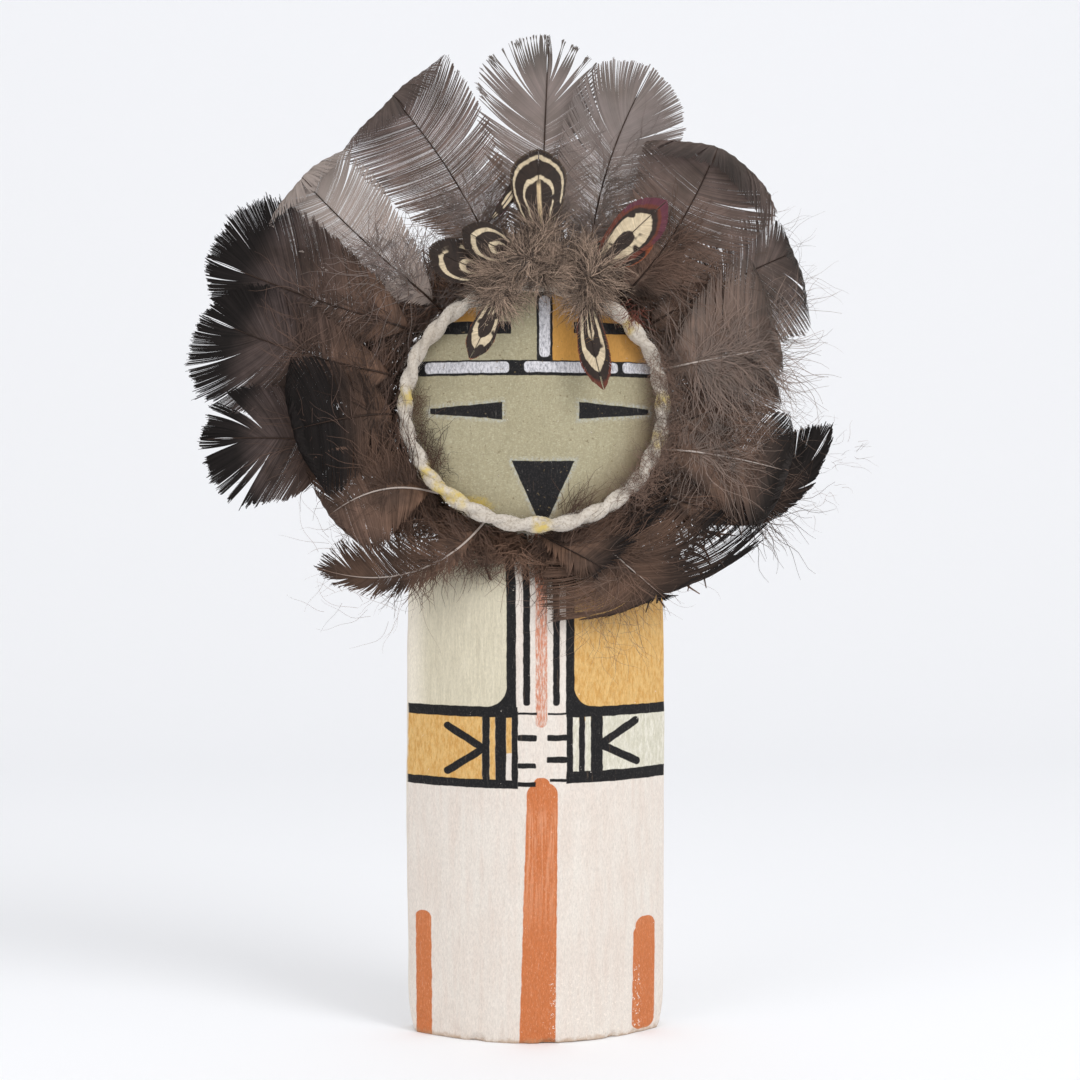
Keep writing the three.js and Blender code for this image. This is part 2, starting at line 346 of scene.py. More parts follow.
def wear_wood(mesh):
    """Slight tool marks all over, and a chipped front edge at the foot."""
    points, normals = vectors(mesh, "co") / MM, vectors(mesh, "normal")
    stretched = points * (1, 1, 0.35)
    push = sum(
        height * waves(stretched, SEED + number, count, wavelength)
        for number, (height, count, wavelength) in enumerate(TOOL_MARKS)
    )
    low = smoothstep(FOOT_HEIGHT, 0, points[:, 2])
    front = smoothstep(0.2, -0.6, normals[:, 1])
    chips = smoothstep(0.5, 1.6, waves(points * (1, 1, 1.6), SEED + 2, 16, 7))
    push = push - FOOT_WEAR * low * front * chips
    points += normals * push[:, None]
    points[:, 2] = np.maximum(points[:, 2], 0)
    mesh.vertices.foreach_set("co", (points * MM).astype(np.float32).ravel())
    mesh.update()


# ---- Wooden figure: paint ----

# Painted bands of the body, from the floor up. A box row is left, right, low, high, the
# radius of its corners and its turn in degrees. OFF is past the edge of the wood.
BELT_TOP, BELT_LOW = 92.2, 70.0
LINE = 2.9
PANEL_LOW, PANEL_TOP = BELT_TOP - 4, 140
PANEL_ROUND = 5.5
OFF = 60
SOFT = 0.12  # half the width of a painted edge


def bar(start, end, width):
    """A round-ended stroke from start to end, as a box row."""
    (x0, z0), (x1, z1) = start, end
    length = math.hypot(x1 - x0, z1 - z0) + width
    cx, cz = (x0 + x1) / 2, (z0 + z1) / 2
    turn = math.degrees(math.atan2(z1 - z0, x1 - x0))
    return (cx - length / 2, cx + length / 2, cz - width / 2, cz + width / 2, width / 2, turn)


CREAM = [(-OFF, -9.7, PANEL_LOW, PANEL_TOP)]
OCHRE = [
    (8.6, OFF, PANEL_LOW, PANEL_TOP), (-OFF, -16.4, BELT_LOW + 1, BELT_TOP - 1),
    (-14.4, -12.9, BELT_LOW + 1, BELT_TOP - 1), (-10.0, -8.5, 79.5, BELT_TOP - 1),
]
GREEN = [
    (17.0, OFF, BELT_LOW + 2, BELT_TOP - 1), (8.4, 10.1, BELT_LOW + 2, BELT_TOP - 1),
    (11.9, 13.5, BELT_LOW + 2, BELT_TOP - 1),
]
FADED_STRIPE = [(-2.0, 1.2, 86.6, PANEL_TOP, 1.5)]
STRIPES = [
    (-5.4, 1.6, -3, 71.5, 3.4, -1.7), (-3.2, 3.8, -3, 71.5, 3.4, -0.6), (-2.6, 1.9, 60, 72.9, 2.0),
    (-34.1, -29.9, -1.2, 34.6, 2.0, 0.4), (26.9, 33.1, 1.0, 32.4, 2.6, -0.6),
    (26.1, 31.0, 1.0, 30.0, 2.2, -1.2),
]
BLACK = [
    # The belt's upper and lower edges.
    (-OFF, -7, BELT_TOP - LINE, BELT_TOP), (6.5, OFF, BELT_TOP - LINE, BELT_TOP - 0.1),
    (-OFF, -6.8, BELT_LOW - 0.2, BELT_LOW + 2.2), (6.5, OFF, BELT_LOW + 1.2, BELT_LOW + 4.4),
    # The centre strip's lines.
    (-5.4, -3.5, 92.6, PANEL_TOP, 0.8), (2.8, 4.7, 92.6, PANEL_TOP, 0.8),
    (-6.9, -1.6, 90.1, 90.7), (1.4, 6.8, 90.0, 90.6),
    (-6.9, -1.7, 82.9, 84.6, 0.4), (-6.9, -1.9, 75.4, 76.9, 0.4),
    (1.1, 6.8, 82.9, 84.6, 0.4), (1.1, 6.8, 76.9, 78.6, 0.4),
    (-6.9, -1.9, 70.4, 71.7), (1.9, 6.8, 71.7, 72.5),
    # The belt's upright bars, and the two marks beside them.
    (-16.4, -14.4, 70, 91), (-12.9, -10.0, 70, 91), (-8.5, -6.8, 70, 91),
    (6.6, 8.4, 72, 91), (10.1, 11.8, 72, 91), (13.5, 17.0, 72, 91),
    bar((-25.6, 86.6), (-16.4, 80.9), 2.1), bar((-25.6, 74.2), (-16.4, 80.5), 2.1),
    bar((17.2, 82.1), (26.9, 87.6), 2.3), bar((17.2, 81.2), (27.4, 76.3), 2.2),
]
FACE_OCHRE = [(-29.6, -18.2, 197.9, 206, 0.3), (2.6, 31.6, 187.0, 205.8, 0.3), (31, OFF, 187, 206, 0.3)]
FACE_UPPER = [(-OFF, -31.9, 197.9, 220), (-19, -1.5, 204, 220)]
FACE_BLACK = [
    (-1.7, 2.7, 187.0, 212, 0.4), (-31.8, -8.7, 194.5, 197.9, 0.3), (8.6, 28.1, 194.8, 197.9, 0.3),
    (-OFF, OFF, 183.1, 187.3),
]
FACE_WHITE = [
    (-1.0, 2.0, 188.1, 204.9, 1.2), (-32, -9.3, 183.8, 186.8, 1.0), (-5.2, 21.2, 184.0, 186.9, 1.0),
    (22.6, 31.6, 184.2, 187.0, 1.0),
]
# Each eye: its side, its inner and outer ends and its height. It narrows outward.
EYES = ((-1, 11.1, 30.6, 173.4), (1, 10.1, 30.2, 173.6))
EYE_THICK, EYE_THIN = 2.35, 0.75
MOUTH_TOP, MOUTH_LOW, MOUTH_WIDE, MOUTH_NARROW, MOUTH_X = 159.7, 143.6, 8.7, 1.4, 0.1
NECK_Z = 140


def stroke_group():
    """A node group: how deep a place lies inside a box with round corners, in millimetres."""
    tree = bpy.data.node_groups.new("stroke", "ShaderNodeTree")
    kinds = {"Place": "Vector", "Centre": "Vector", "Half": "Vector", "Turn": "Float", "Round": "Float"}
    for label, kind in kinds.items():
        tree.interface.new_socket(label, in_out="INPUT", socket_type="NodeSocket" + kind)
    tree.interface.new_socket("Depth", in_out="OUTPUT", socket_type="NodeSocketFloat")
    graph = Graph(tree)
    inside = tree.nodes.new("NodeGroupInput").outputs
    offset = graph.vector("SUBTRACT", inside["Place"], inside["Centre"])
    values = {"Vector": offset, "Angle": inside["Turn"], "Axis": (0, 1, 0)}
    turned = graph.add("ShaderNodeVectorRotate", values, rotation_type="AXIS_ANGLE")
    away = graph.vector("SUBTRACT", graph.vector("ABSOLUTE", turned), inside["Half"])
    corner = graph.vector("MULTIPLY_ADD", (1, 0, 1), inside["Round"], away)
    outer = graph.vector("LENGTH", graph.vector("MAXIMUM", corner, (0, 0, 0)), output=1)
    corner_x = graph.vector("DOT_PRODUCT", corner, (1, 0, 0), output=1)
    corner_z = graph.vector("DOT_PRODUCT", corner, (0, 0, 1), output=1)
    inner = graph.math("MINIMUM", graph.math("MAXIMUM", corner_x, corner_z), 0.0)
    depth = graph.minus(inside["Round"], graph.math("ADD", outer, inner))
    tree.links.new(depth, tree.nodes.new("NodeGroupOutput").inputs["Depth"])
    return tree


class FigurePaint(Graph):
    """Paints the front of the figure, with slightly uneven brushed edges."""

    def __init__(self, tree):
        super().__init__(tree)
        self.group = stroke_group()
        self.place = self.scaled(self.metres(), 1 / MM)
        wobble = {"Vector": self.place, "Scale": 0.35, "Detail": 4.0}
        drift = self.vector("SUBTRACT", self.add("ShaderNodeTexNoise", wobble, "Color"), (0.5, 0.5, 0.5))
        self.shifted = self.vector("MULTIPLY_ADD", drift, (0.55, 0.0, 0.55), self.place)
        self.x, self.y, self.z = self.axes(self.place)
        self.grain = self.drawn_out((1.6, 1.6, 0.12), 5.0, 0.7)
        self.brush = self.drawn_out((0.5, 0.5, 0.06), 4.0, 0.6)
        self.cloud = self.noise(self.place, 0.07, 4.0, 0.6)
        self.speck = self.noise(self.place, 1.3, 2.0, 0.7)
        rubbed = self.ramp(self.drawn_out((2.2, 2.2, 1.6), 4.0, 0.8), 0.50, 0.66)
        self.ink = self.mix(rubbed, (19, 18, 20), (50, 47, 46))

    def drawn_out(self, factors, detail, roughness):
        """Noise with so many features to the millimetre along each axis."""
        return self.noise(self.vector("MULTIPLY", self.place, factors), 1.0, detail, roughness)

    def depth(self, left, right, low, high, round_by=0.0, turn=0.0):
        values = {
            "Place": self.shifted,
            "Centre": ((left + right) / 2, 0, (low + high) / 2),
            "Half": (abs(right - left) / 2, 1000, abs(high - low) / 2),
            "Turn": math.radians(turn),
            "Round": round_by,
        }
        return self.add("ShaderNodeGroup", values, node_tree=self.group)

    def boxes(self, rows, deepest=None):
        """The share of paint where any of the boxes is, or where deepest is above 0."""
        for row in rows:
            shape = self.depth(*row)
            deepest = self.math("MAXIMUM", deepest, shape) if deepest else shape
        return self.ramp(deepest, -SOFT, SOFT)

    def ground(self):
        """The ground coat: white with pinkish and greyish patches."""
        colour = self.mix(self.cloud, (216, 204, 194), (226, 221, 213))
        return self.coat(colour, self.ramp(self.brush, 0.35, 0.75), (213, 198, 187), 0.55)

    def panels(self, colour):
        """The two chest panels and the belt's panels. The cream panel has a painted highlight along its left
        edge.
        """
        strokes = self.drawn_out((1.1, 1, 0.35), 5.0, 0.75)
        # Painted highlight: the cream panel is lighter towards the figure's left edge, where its rounded side
        # gets less light.
        thin = self.times(self.ramp(self.x, -30, -35.5), 0.9)
        cream = self.mix(self.ramp(self.grain, 0.35, 0.7), (200, 192, 170), (214, 206, 184))
        ochre = self.mix(self.ramp(strokes, 0.36, 0.62), (198, 150, 82), (216, 178, 116))
        green = self.mix(self.ramp(strokes, 0.4, 0.65), (200, 196, 178), (222, 218, 205))
        colour = self.coat(colour, self.boxes(CREAM), self.mix(thin, cream, (232, 224, 208)))
        colour = self.coat(colour, self.boxes(OCHRE), ochre)
        return self.coat(colour, self.boxes(GREEN), green)

    def stripes(self, colour):
        """The terracotta stripes: washed out high up, flaked at the right low down."""
        dry = self.ramp(self.drawn_out((2.2, 1, 0.35), 4.0, 0.8), 0.66, 0.42)
        colour = self.coat(colour, self.boxes(FADED_STRIPE), (198, 130, 102), dry)
        washed = self.times(self.ramp(self.z, 24, 50), self.ramp(self.z, 67, 60))
        washed = self.times(washed, self.ramp(self.drawn_out((1.5, 1, 0.07), 3.0, 0.55), 0.42, 0.62))
        terracotta = self.coat(linear(192, 112, 66), washed, (224, 164, 130), 0.5)
        mottled = self.ramp(self.drawn_out((3, 3, 1.0), 4.0, 0.8), 0.52, 0.68)
        colour = self.coat(colour, self.boxes(STRIPES), self.mix(mottled, terracotta, (214, 146, 108)))
        where = self.times(self.ramp(self.x, 1.2, 3.0), self.ramp(self.x, 29.5, 27.5))
        where = self.times(self.ramp(self.z, 23, 15), where)
        return self.coat(colour, self.ramp(self.noise(self.place, 1.5, 2.0, 0.7), 0.60, 0.64),
                         (232, 222, 212), where)

    def black_lines(self, colour):
        """The body's lines. The chest panels' corners are round, so black fills them."""
        fills = []
        for corner, strip in (
            ((-OFF, -9.9, BELT_TOP, 200, PANEL_ROUND), (-16, -7.3, BELT_TOP - 2, PANEL_TOP)),
            ((8.8, OFF, BELT_TOP, 200, PANEL_ROUND), (6.4, 15, BELT_TOP - 2, PANEL_TOP)),
        ):
            fills.append(self.math("MINIMUM", self.minus(0.0, self.depth(*corner)), self.depth(*strip)))
        return self.coat(colour, self.boxes(BLACK, self.math("MAXIMUM", *fills)), self.ink)

    def face_ground(self):
        """The face's green: brushed, with a weave in it."""
        weave = self.drawn_out((1.5, 1, 2.4), 5.0, 0.8)
        colour = self.mix(self.cloud, (148, 140, 113), (169, 161, 134))
        colour = self.coat(colour, self.ramp(self.brush, 0.4, 0.8), (149, 140, 112), 0.6)
        colour = self.coat(colour, self.ramp(weave, 0.48, 0.66), (184, 178, 152), 0.8)
        return self.coat(colour, self.ramp(weave, 0.42, 0.30), (128, 118, 92), 0.6)

    def ring_shadow_and_stain(self, colour):
        """Painted shade beside the ring: the ring's shadow on the face's edge, most at the lower right; and a
        stain of wool dye at the lower left.
        """
        away = self.vector("SUBTRACT", self.place, (HEAD_X, 0, HEAD_Z))
        away = self.vector("MULTIPLY", away, (1 / HEAD_HALF_WIDTH, 0, 1 / HEAD_HALF_HEIGHT))
        rim = self.ramp(self.vector("LENGTH", away, output=1), 0.60, 0.96)
        lower_right = self.vector("DOT_PRODUCT", away, (0.80, 0, -0.60), output=1)
        strength = self.math("MULTIPLY_ADD", self.ramp(lower_right, 0.25, 0.85), 0.74, 0.12)
        # Painted shadow of the ring on the face, darker towards the lower right.
        colour = self.coat(colour, rim, (116, 101, 80), strength)
        stain = self.vector("SUBTRACT", self.place, (-19.6, 0, 146.8))
        stain = self.vector("MULTIPLY", stain, (0.13, 0, 0.24))
        stain = self.math("ADD", self.vector("LENGTH", stain, output=1), self.times(self.speck, 0.9))
        return self.coat(colour, self.ramp(stain, 1.45, 0.75), (196, 168, 66), 0.8)

    def eyes_and_mouth(self):
        """How deep a place lies in the two long tapering eyes and the triangle of the mouth."""
        across, _, up = self.axes(self.shifted)

        def wedge(middle, length_way, start, end, half):
            high = self.minus(half, self.math("ABSOLUTE", middle))
            long = self.math("MINIMUM", self.minus(length_way, start), self.minus(end, length_way))
            return self.math("MINIMUM", high, long)

        depths = []
        for side, inner, outer, height in EYES:
            away = self.times(across, float(side))
            half = self.between(away, inner, outer, EYE_THICK, EYE_THIN)
            depths.append(wedge(self.minus(up, height), away, inner, outer, half))
        half = self.between(up, MOUTH_LOW, MOUTH_TOP, MOUTH_NARROW, MOUTH_WIDE)
        mouth = wedge(self.minus(across, MOUTH_X), up, MOUTH_LOW, MOUTH_TOP, half)
        return self.math("MAXIMUM", self.math("MAXIMUM", *depths), mouth)

    def face(self):
        colour = self.coat(self.face_ground(), self.boxes(FACE_OCHRE), (190, 140, 70))
        colour = self.coat(colour, self.boxes(FACE_UPPER), (164, 156, 126))
        colour = self.coat(self.ring_shadow_and_stain(colour), self.boxes(FACE_BLACK), self.ink)
        streaks = self.ramp(self.drawn_out((2.0, 1, 0.8), 4.0, 0.8), 0.30, 0.62)
        worn_white = self.mix(streaks, (138, 138, 144), (214, 212, 216))
        colour = self.coat(colour, self.boxes(FACE_WHITE), worn_white)
        depth = self.eyes_and_mouth()
        halo = self.times(self.ramp(depth, -1.6, -0.2), self.ramp(self.speck, 0.35, 0.7))
        colour = self.coat(colour, halo, (190, 202, 212), 0.35)
        colour = self.coat(colour, self.ramp(depth, -SOFT, SOFT), self.ink)
        return self.coat(colour, self.ramp(self.noise(self.place, 1.1, 1.0), 0.69, 0.75), (112, 96, 68), 0.6)

    def uneven(self, colour):
        """Every paint is a little lighter and darker along the strokes."""
        fine = self.drawn_out((2.4, 2.4, 0.9), 5.0, 0.8)
        return self.scaled(colour, self.math("MULTIPLY_ADD", fine, 0.8, 0.60))

    def bare_behind(self, colour):
        """The painted front ends at the side edges. The sides and the back are bare ground coat."""
        edge = self.math("MULTIPLY_ADD", self.noise(self.place, 0.3, 2.0), 2.0, self.y)
        plain = self.mix(self.cloud, (214, 202, 186), (226, 218, 206))
        start = HALF_WIDTH * 0.21
        return self.coat(colour, self.ramp(edge, start, start + 1.2), plain)

    def worn(self, colour):
        """Grain that shows through, a rubbed, dirty foot, and chips."""
        colour = self.coat(colour, self.ramp(self.grain, 0.62, 0.78), (240, 232, 222), 0.22)
        colour = self.coat(colour, self.ramp(self.grain, 0.40, 0.26), (150, 122, 96), 0.16)
        foot = self.math("MULTIPLY_ADD", self.noise(self.place, 0.5, 4.0), -4.0, self.z)
        colour = self.coat(colour, self.ramp(foot, -0.2, -2.0), (176, 142, 108), 0.6)
        chips = self.ramp(self.noise(self.place, 0.55, 3.0, 0.8), 0.70, 0.73)
        return self.coat(colour, chips, (236, 228, 218), 0.55)


def wood_material():
    material, shader = new_material("painted_wood", (226, 216, 206), 0.78)
    paint = FigurePaint(material.node_tree)
    colour = paint.black_lines(paint.stripes(paint.panels(paint.ground())))
    colour = paint.coat(colour, paint.ramp(paint.z, NECK_Z - 0.5, NECK_Z + 0.5), paint.face())
    paint.feed(shader.inputs["Base Color"], paint.worn(paint.bare_behind(paint.uneven(colour))))
    shader.inputs["Specular IOR Level"].default_value = 0.25
    paint.feed(shader.inputs["Roughness"], paint.math("MULTIPLY_ADD", paint.grain, 0.25, 0.62))
    height = paint.math("ADD", paint.times(paint.grain, 0.6), paint.times(paint.speck, 0.4))
    values = {"Height": height, "Distance": 0.12 * MM, "Strength": 0.8}
    paint.feed(shader.inputs["Normal"], paint.add("ShaderNodeBump", values))
    return material


def make_wood():
    mesh = carve_wood("wooden_figure_painted")
    wear_wood(mesh)
    place_piece("wooden_figure_painted", mesh, wood_material(), "painted_wood", "wooden_figure")


# ---- Yarn ring ----

FACE_CREST_Y, FACE_FALL, BROW = -14, 10, 1.4
YARN_LIFT = 3.2
YARN_TURNS = 14
# Yellow stains: angle round the ring in degrees, anticlockwise from +X, and half length in degrees.
YARN_STAINS = ((175, 4), (214, 4), (228, 9), (272, 4), (344, 4), (3, 4), (43, 3))
PLY_ROWS, PLY_SIDES = 560, 22
# In the texture's layout: the radii of the ring and of a ply, and where the fuzz is put.
FLAT_RADIUS, FLAT_PLY, FLAT_FUZZ = 34, 1.4, 30


def face_y(x, z):
    """The front of the head."""
    across = (x - HEAD_X) / HEAD_HALF_WIDTH
    up = (z - HEAD_Z) / HEAD_HALF_HEIGHT
    return FACE_CREST_Y + FACE_FALL * across**2 + BROW * up**4


def ring_frame(angle):
    """The ring's centre line and the way outward from it, at angles round the ring."""
    x = HEAD_X + RING_HALF_WIDTH * np.cos(angle)
    z = HEAD_Z + RING_HALF_HEIGHT * np.sin(angle)
    line = np.stack([x, face_y(x, z) - YARN_LIFT, z], axis=-1)
    outward = np.stack([np.cos(angle), np.zeros_like(angle), np.sin(angle)], axis=-1)
    return line, outward


def ring_stain(angle):
    degrees = np.degrees(angle) % 360
    share = np.zeros_like(degrees)
    for centre, half in YARN_STAINS:
        away = np.abs((degrees - centre + 180) % 360 - 180)
        share = np.maximum(share, smoothstep(1.5 * half, 0.4 * half, away))
    return share


def yarn_ply(strands, phase):
    """One soft ply with ridges of fibre, as a closed tube."""
    angle = np.linspace(0, 2 * math.pi, PLY_ROWS + 1)[:, None]
    section = (np.arange(PLY_SIDES + 1) * 2 * math.pi / PLY_SIDES)[None]
    line, outward = ring_frame(angle)

    def around(turn):
        return np.cos(turn)[..., None] * outward + np.sin(turn)[..., None] * FORWARD

    thick = 1 + 0.10 * np.sin(3 * angle + phase) + 0.05 * np.sin(11 * angle + 2 * phase)
    centre = line + PLY_OFFSET * thick[..., None] * around(YARN_TURNS * angle + phase)
    fibre = section - 2.0 * YARN_TURNS * angle
    ridges = 0.05 * np.sin(7 * fibre) + 0.035 * np.sin(12 * fibre + 3 * np.sin(5 * angle))
    ridges = ridges + 0.03 * np.sin(17 * fibre + 9 * angle)
    radius = PLY_RADIUS * thick * (1 + ridges)
    points = centre + radius[..., None] * around(section)
    wide = PLY_SIDES + 1
    corner = np.arange(PLY_ROWS)[:, None] * wide + np.arange(PLY_SIDES)[None]
    quads = np.stack([corner, corner + wide, corner + wide + 1, corner + 1], axis=-1)
    shade = np.broadcast_to(ring_stain(angle), radius.shape)
    flat = [np.broadcast_to(part, radius.shape) for part in (angle * FLAT_RADIUS, section * FLAT_PLY)]
    flat = np.stack(flat, -1).reshape(-1, 2) + (0, 12 * phase)
    strands.store(points.reshape(-1, 3), quads.reshape(-1, 4), {"stain": shade.ravel()}, flat)


def yarn_fuzz(strands, rng, count=1500, rows=7):
    """Loose fibres that stand off the yarn."""
    t = np.linspace(0, 1, rows)[None, :, None]
    angle = rng.uniform(0, 2 * math.pi, count)
    section = rng.uniform(-0.4, math.pi + 0.4, count)
    line, outward = ring_frame(angle)
    out = np.cos(section)[:, None] * outward + np.sin(section)[:, None] * FORWARD
    along = np.stack([-np.sin(angle), np.zeros(count), np.cos(angle)], axis=1)
    along *= rng.choice((-1, 1), count)[:, None]
    height = rng.uniform(0.15, 0.9, (count, 1, 1))
    length = rng.uniform(1.2, 4.0, (count, 1, 1))
    wave = 0.25 * np.sin(t * 5 + rng.uniform(0, 6, (count, 1, 1)))
    start = (line + out * (RING_TUBE - 0.25))[:, None]
    lines = start + along[:, None] * length * t + out[:, None] * (height * np.sin(t * 2.6) + wave * t)
    widths = np.broadcast_to(0.07 * (1 - 0.6 * t[..., 0]), (count, rows))
    stain = np.repeat(ring_stain(angle)[:, None], rows, axis=1)
    around = np.repeat((angle * FLAT_RADIUS)[:, None], rows, axis=1)
    flat = np.stack([around, FLAT_FUZZ + t[..., 0] * length[..., 0]], axis=-1)
    strands.ribbons(lines, widths, out[:, None], {"stain": stain}, flat)


def wool_material():
    material, shader = new_material("wool", (206, 199, 188), 0.95)
    graph = Graph(material.node_tree)
    metres = graph.metres()
    fibre = graph.noise(metres, 1500, 2.0, 0.7)
    colour = graph.mix(graph.noise(metres, 160), (214, 207, 198), (194, 184, 170))
    colour = graph.coat(colour, graph.ramp(fibre, 0.55, 0.3), (168, 156, 142))
    colour = graph.coat(colour, graph.ramp(graph.noise(metres, 60), 0.55, 0.72), (170, 156, 138), 0.4)
    stain = graph.times(graph.attribute("stain"), graph.ramp(graph.noise(metres, 400), 0.3, 0.65))
    colour = graph.coat(colour, stain, (206, 180, 84), 0.85)
    graph.feed(shader.inputs["Base Color"], colour)
    values = {"Height": fibre, "Distance": 0.15 * MM, "Strength": 0.7}
    graph.feed(shader.inputs["Normal"], graph.add("ShaderNodeBump", values))
    shader.inputs["Sheen Weight"].default_value = 0.25
    return material


def make_yarn():
    strands = Strands()
    yarn_ply(strands, 0.0)
    yarn_ply(strands, math.pi)
    yarn_fuzz(strands, np.random.default_rng(SEED + 40))
    mesh = strands.mesh("yarn_ring_twisted")
    place_piece("yarn_ring_twisted", mesh, wool_material(), "wool_yarn", "yarn_ring")


# ---- Feathers: shape ----

# The dished surface of the ruff's back layer, and the pitch of its layers, as in the CAD model.
ROOT_Y = (-2.0, 6.5, -5.6)  # at the crown, the sides and the chin
DISH_Y = (-8.0, -3.0, -15.0)
DISH_START, DISH_END = 34, 46
CURL_START, CURL_SPAN, CURL_DEPTH = 50, 50, 4
LAYER_PITCH = 1.2
ROOT_GAP = 1.4  # between the head's edge and a quill's end
BARE = 0.08  # share of a quill before its outline opens
FOLD_TURN = 1.1 * math.pi  # how far round a rolled tip turns before it lies flat again
FOLD_RADIUS = 2.5


def polar(radius, angle):
    return HEAD_X + radius * np.cos(angle), HEAD_Z + radius * np.sin(angle)


def head_edge(angle):
    return 1 / np.hypot(np.cos(angle) / HEAD_HALF_WIDTH, np.sin(angle) / HEAD_HALF_HEIGHT)


def ruff_y(x, z):
    dx, dz = x - HEAD_X, z - HEAD_Z
    radius = np.maximum(np.hypot(dx, dz), 1e-6)
    shares = (np.maximum(dz, 0) / radius, dx / radius, np.maximum(-dz, 0) / radius)
    root, dish = (sum(y * share**2 for y, share in zip(depths, shares)) for depths in (ROOT_Y, DISH_Y))
    curl = np.maximum(radius - CURL_START, 0) / CURL_SPAN
    return root + (dish - root) * smoothstep(DISH_START, DISH_END, radius) - CURL_DEPTH * curl**2


def spread(along, peak):
    """A feather's width along its quill: bare at first, widest at the peak, round at the end."""
    opening = np.clip((along - BARE) / (peak - BARE), 0, 1)
    closing = np.clip((along - peak) / (1 - peak), 0, 1)
    return np.sin(math.pi / 2 * opening) ** 0.6 * (1 - closing**2)


class Plume:
    """A feather: its quill, and the surface that its flat layout is laid on.

    Flat places are (a, b): a runs along the quill from its root and b to its left.
    """

    def __init__(self, root, tip, bow, depth_at, half, cup, fold=0.0, round_end=0.0):
        root, tip = np.array(root, float), np.array(tip, float)
        way = (tip - root) / np.linalg.norm(tip - root)
        control = (root + tip) / 2 + 2 * bow * np.array((-way[1], way[0]))
        t = np.linspace(0, 1, 80)[:, None]
        self.line = (1 - t) ** 2 * root + 2 * t * (1 - t) * control + t**2 * tip
        self.steps = np.concatenate([[0], np.cumsum(np.linalg.norm(np.diff(self.line, axis=0), axis=1))])
        self.span = self.steps[-1]
        self.length = self.span + fold
        self.ahead = np.gradient(self.line, axis=0)
        self.ahead /= np.linalg.norm(self.ahead, axis=1, keepdims=True)
        self.depth_at, self.half, self.cup = depth_at, half, cup
        self.fold, self.round_end = fold, round_end

    def lay(self, a, b, lift=0.0):
        """Places in space and the surface's normals for flat places, lift mm in front of it."""
        rise = self.cup * (b / self.half) ** 2 + lift
        roll = np.zeros_like(a)
        if self.fold:
            start = self.span - FOLD_RADIUS - self.round_end * (b / self.half) ** 2
            start = start + 0.22 * np.sin(0.37 * b + self.span) + 0.10 * np.sin(1.9 * b + 3 * self.span)
            past = np.maximum(a - start, 0)
            roll = np.minimum(past / FOLD_RADIUS, FOLD_TURN)
            flap = past - roll * FOLD_RADIUS
            a = np.minimum(a, start) + FOLD_RADIUS * np.sin(roll) - flap * 0.95
            rise = rise + FOLD_RADIUS * (1 - np.cos(roll)) * 0.8
        inside = np.clip(a, 0, self.span)
        x, z, ax, az = (np.interp(inside, self.steps, values) for values in (*self.line.T, *self.ahead.T))
        x = x + ax * (a - inside) - az * b
        z = z + az * (a - inside) + ax * b
        points = np.stack([x, self.depth_at(x, z, inside / self.span) - rise, z], axis=-1)
        normals = np.stack([-ax * np.sin(roll), -np.cos(roll), -az * np.sin(roll)], axis=-1)
        return points, normals

    def on_quill(self, a, b, lift):
        """Places beside the quill, and the way that it runs there, as an angle."""
        place, _ = self.lay(a, b, lift)
        ahead = self.lay(a + 1.0, b, lift)[0] - place
        return place, np.arctan2(ahead[:, 2], ahead[:, 0])


# ---- Feathers: barbs, down and hairs ----

BUNDLE = 5  # filaments of down that grow together
BARB_LAYERS = ("dark", "warm", "pale", "tone", "nest", "along", "side")


def barb_layers(shape, **given):
    """What the feathers' materials read: the values given, and 0 for the others."""
    return {name: np.broadcast_to(given.get(name, 0.0), shape) for name in BARB_LAYERS}


def clumps(rng, count, smallest, largest):
    """Which clump each of count neighbouring barbs is in, and its place in it from -1 to 1."""
    clump, place = np.empty(count, int), np.empty(count)
    start = number = 0
    while start < count:
        size = min(int(rng.integers(smallest, largest + 1)), count - start)
        clump[start : start + size] = number
        place[start : start + size] = np.linspace(-1, 1, size) if size > 1 else 0
        start += size
        number += 1
    return clump, place, number


def even_shares(length, half, peak, look):
    """Shares of the quill whose barbs end at even steps along the feather's outline."""
    share = np.linspace(look["bare"], 1, 500)
    steps = np.hypot(np.diff(share) * length, np.diff(half * spread(share, peak)))
    travelled = np.concatenate([[0], np.cumsum(steps)])
    return np.interp(np.arange(0, travelled[-1], look["pitch"]), travelled, share)


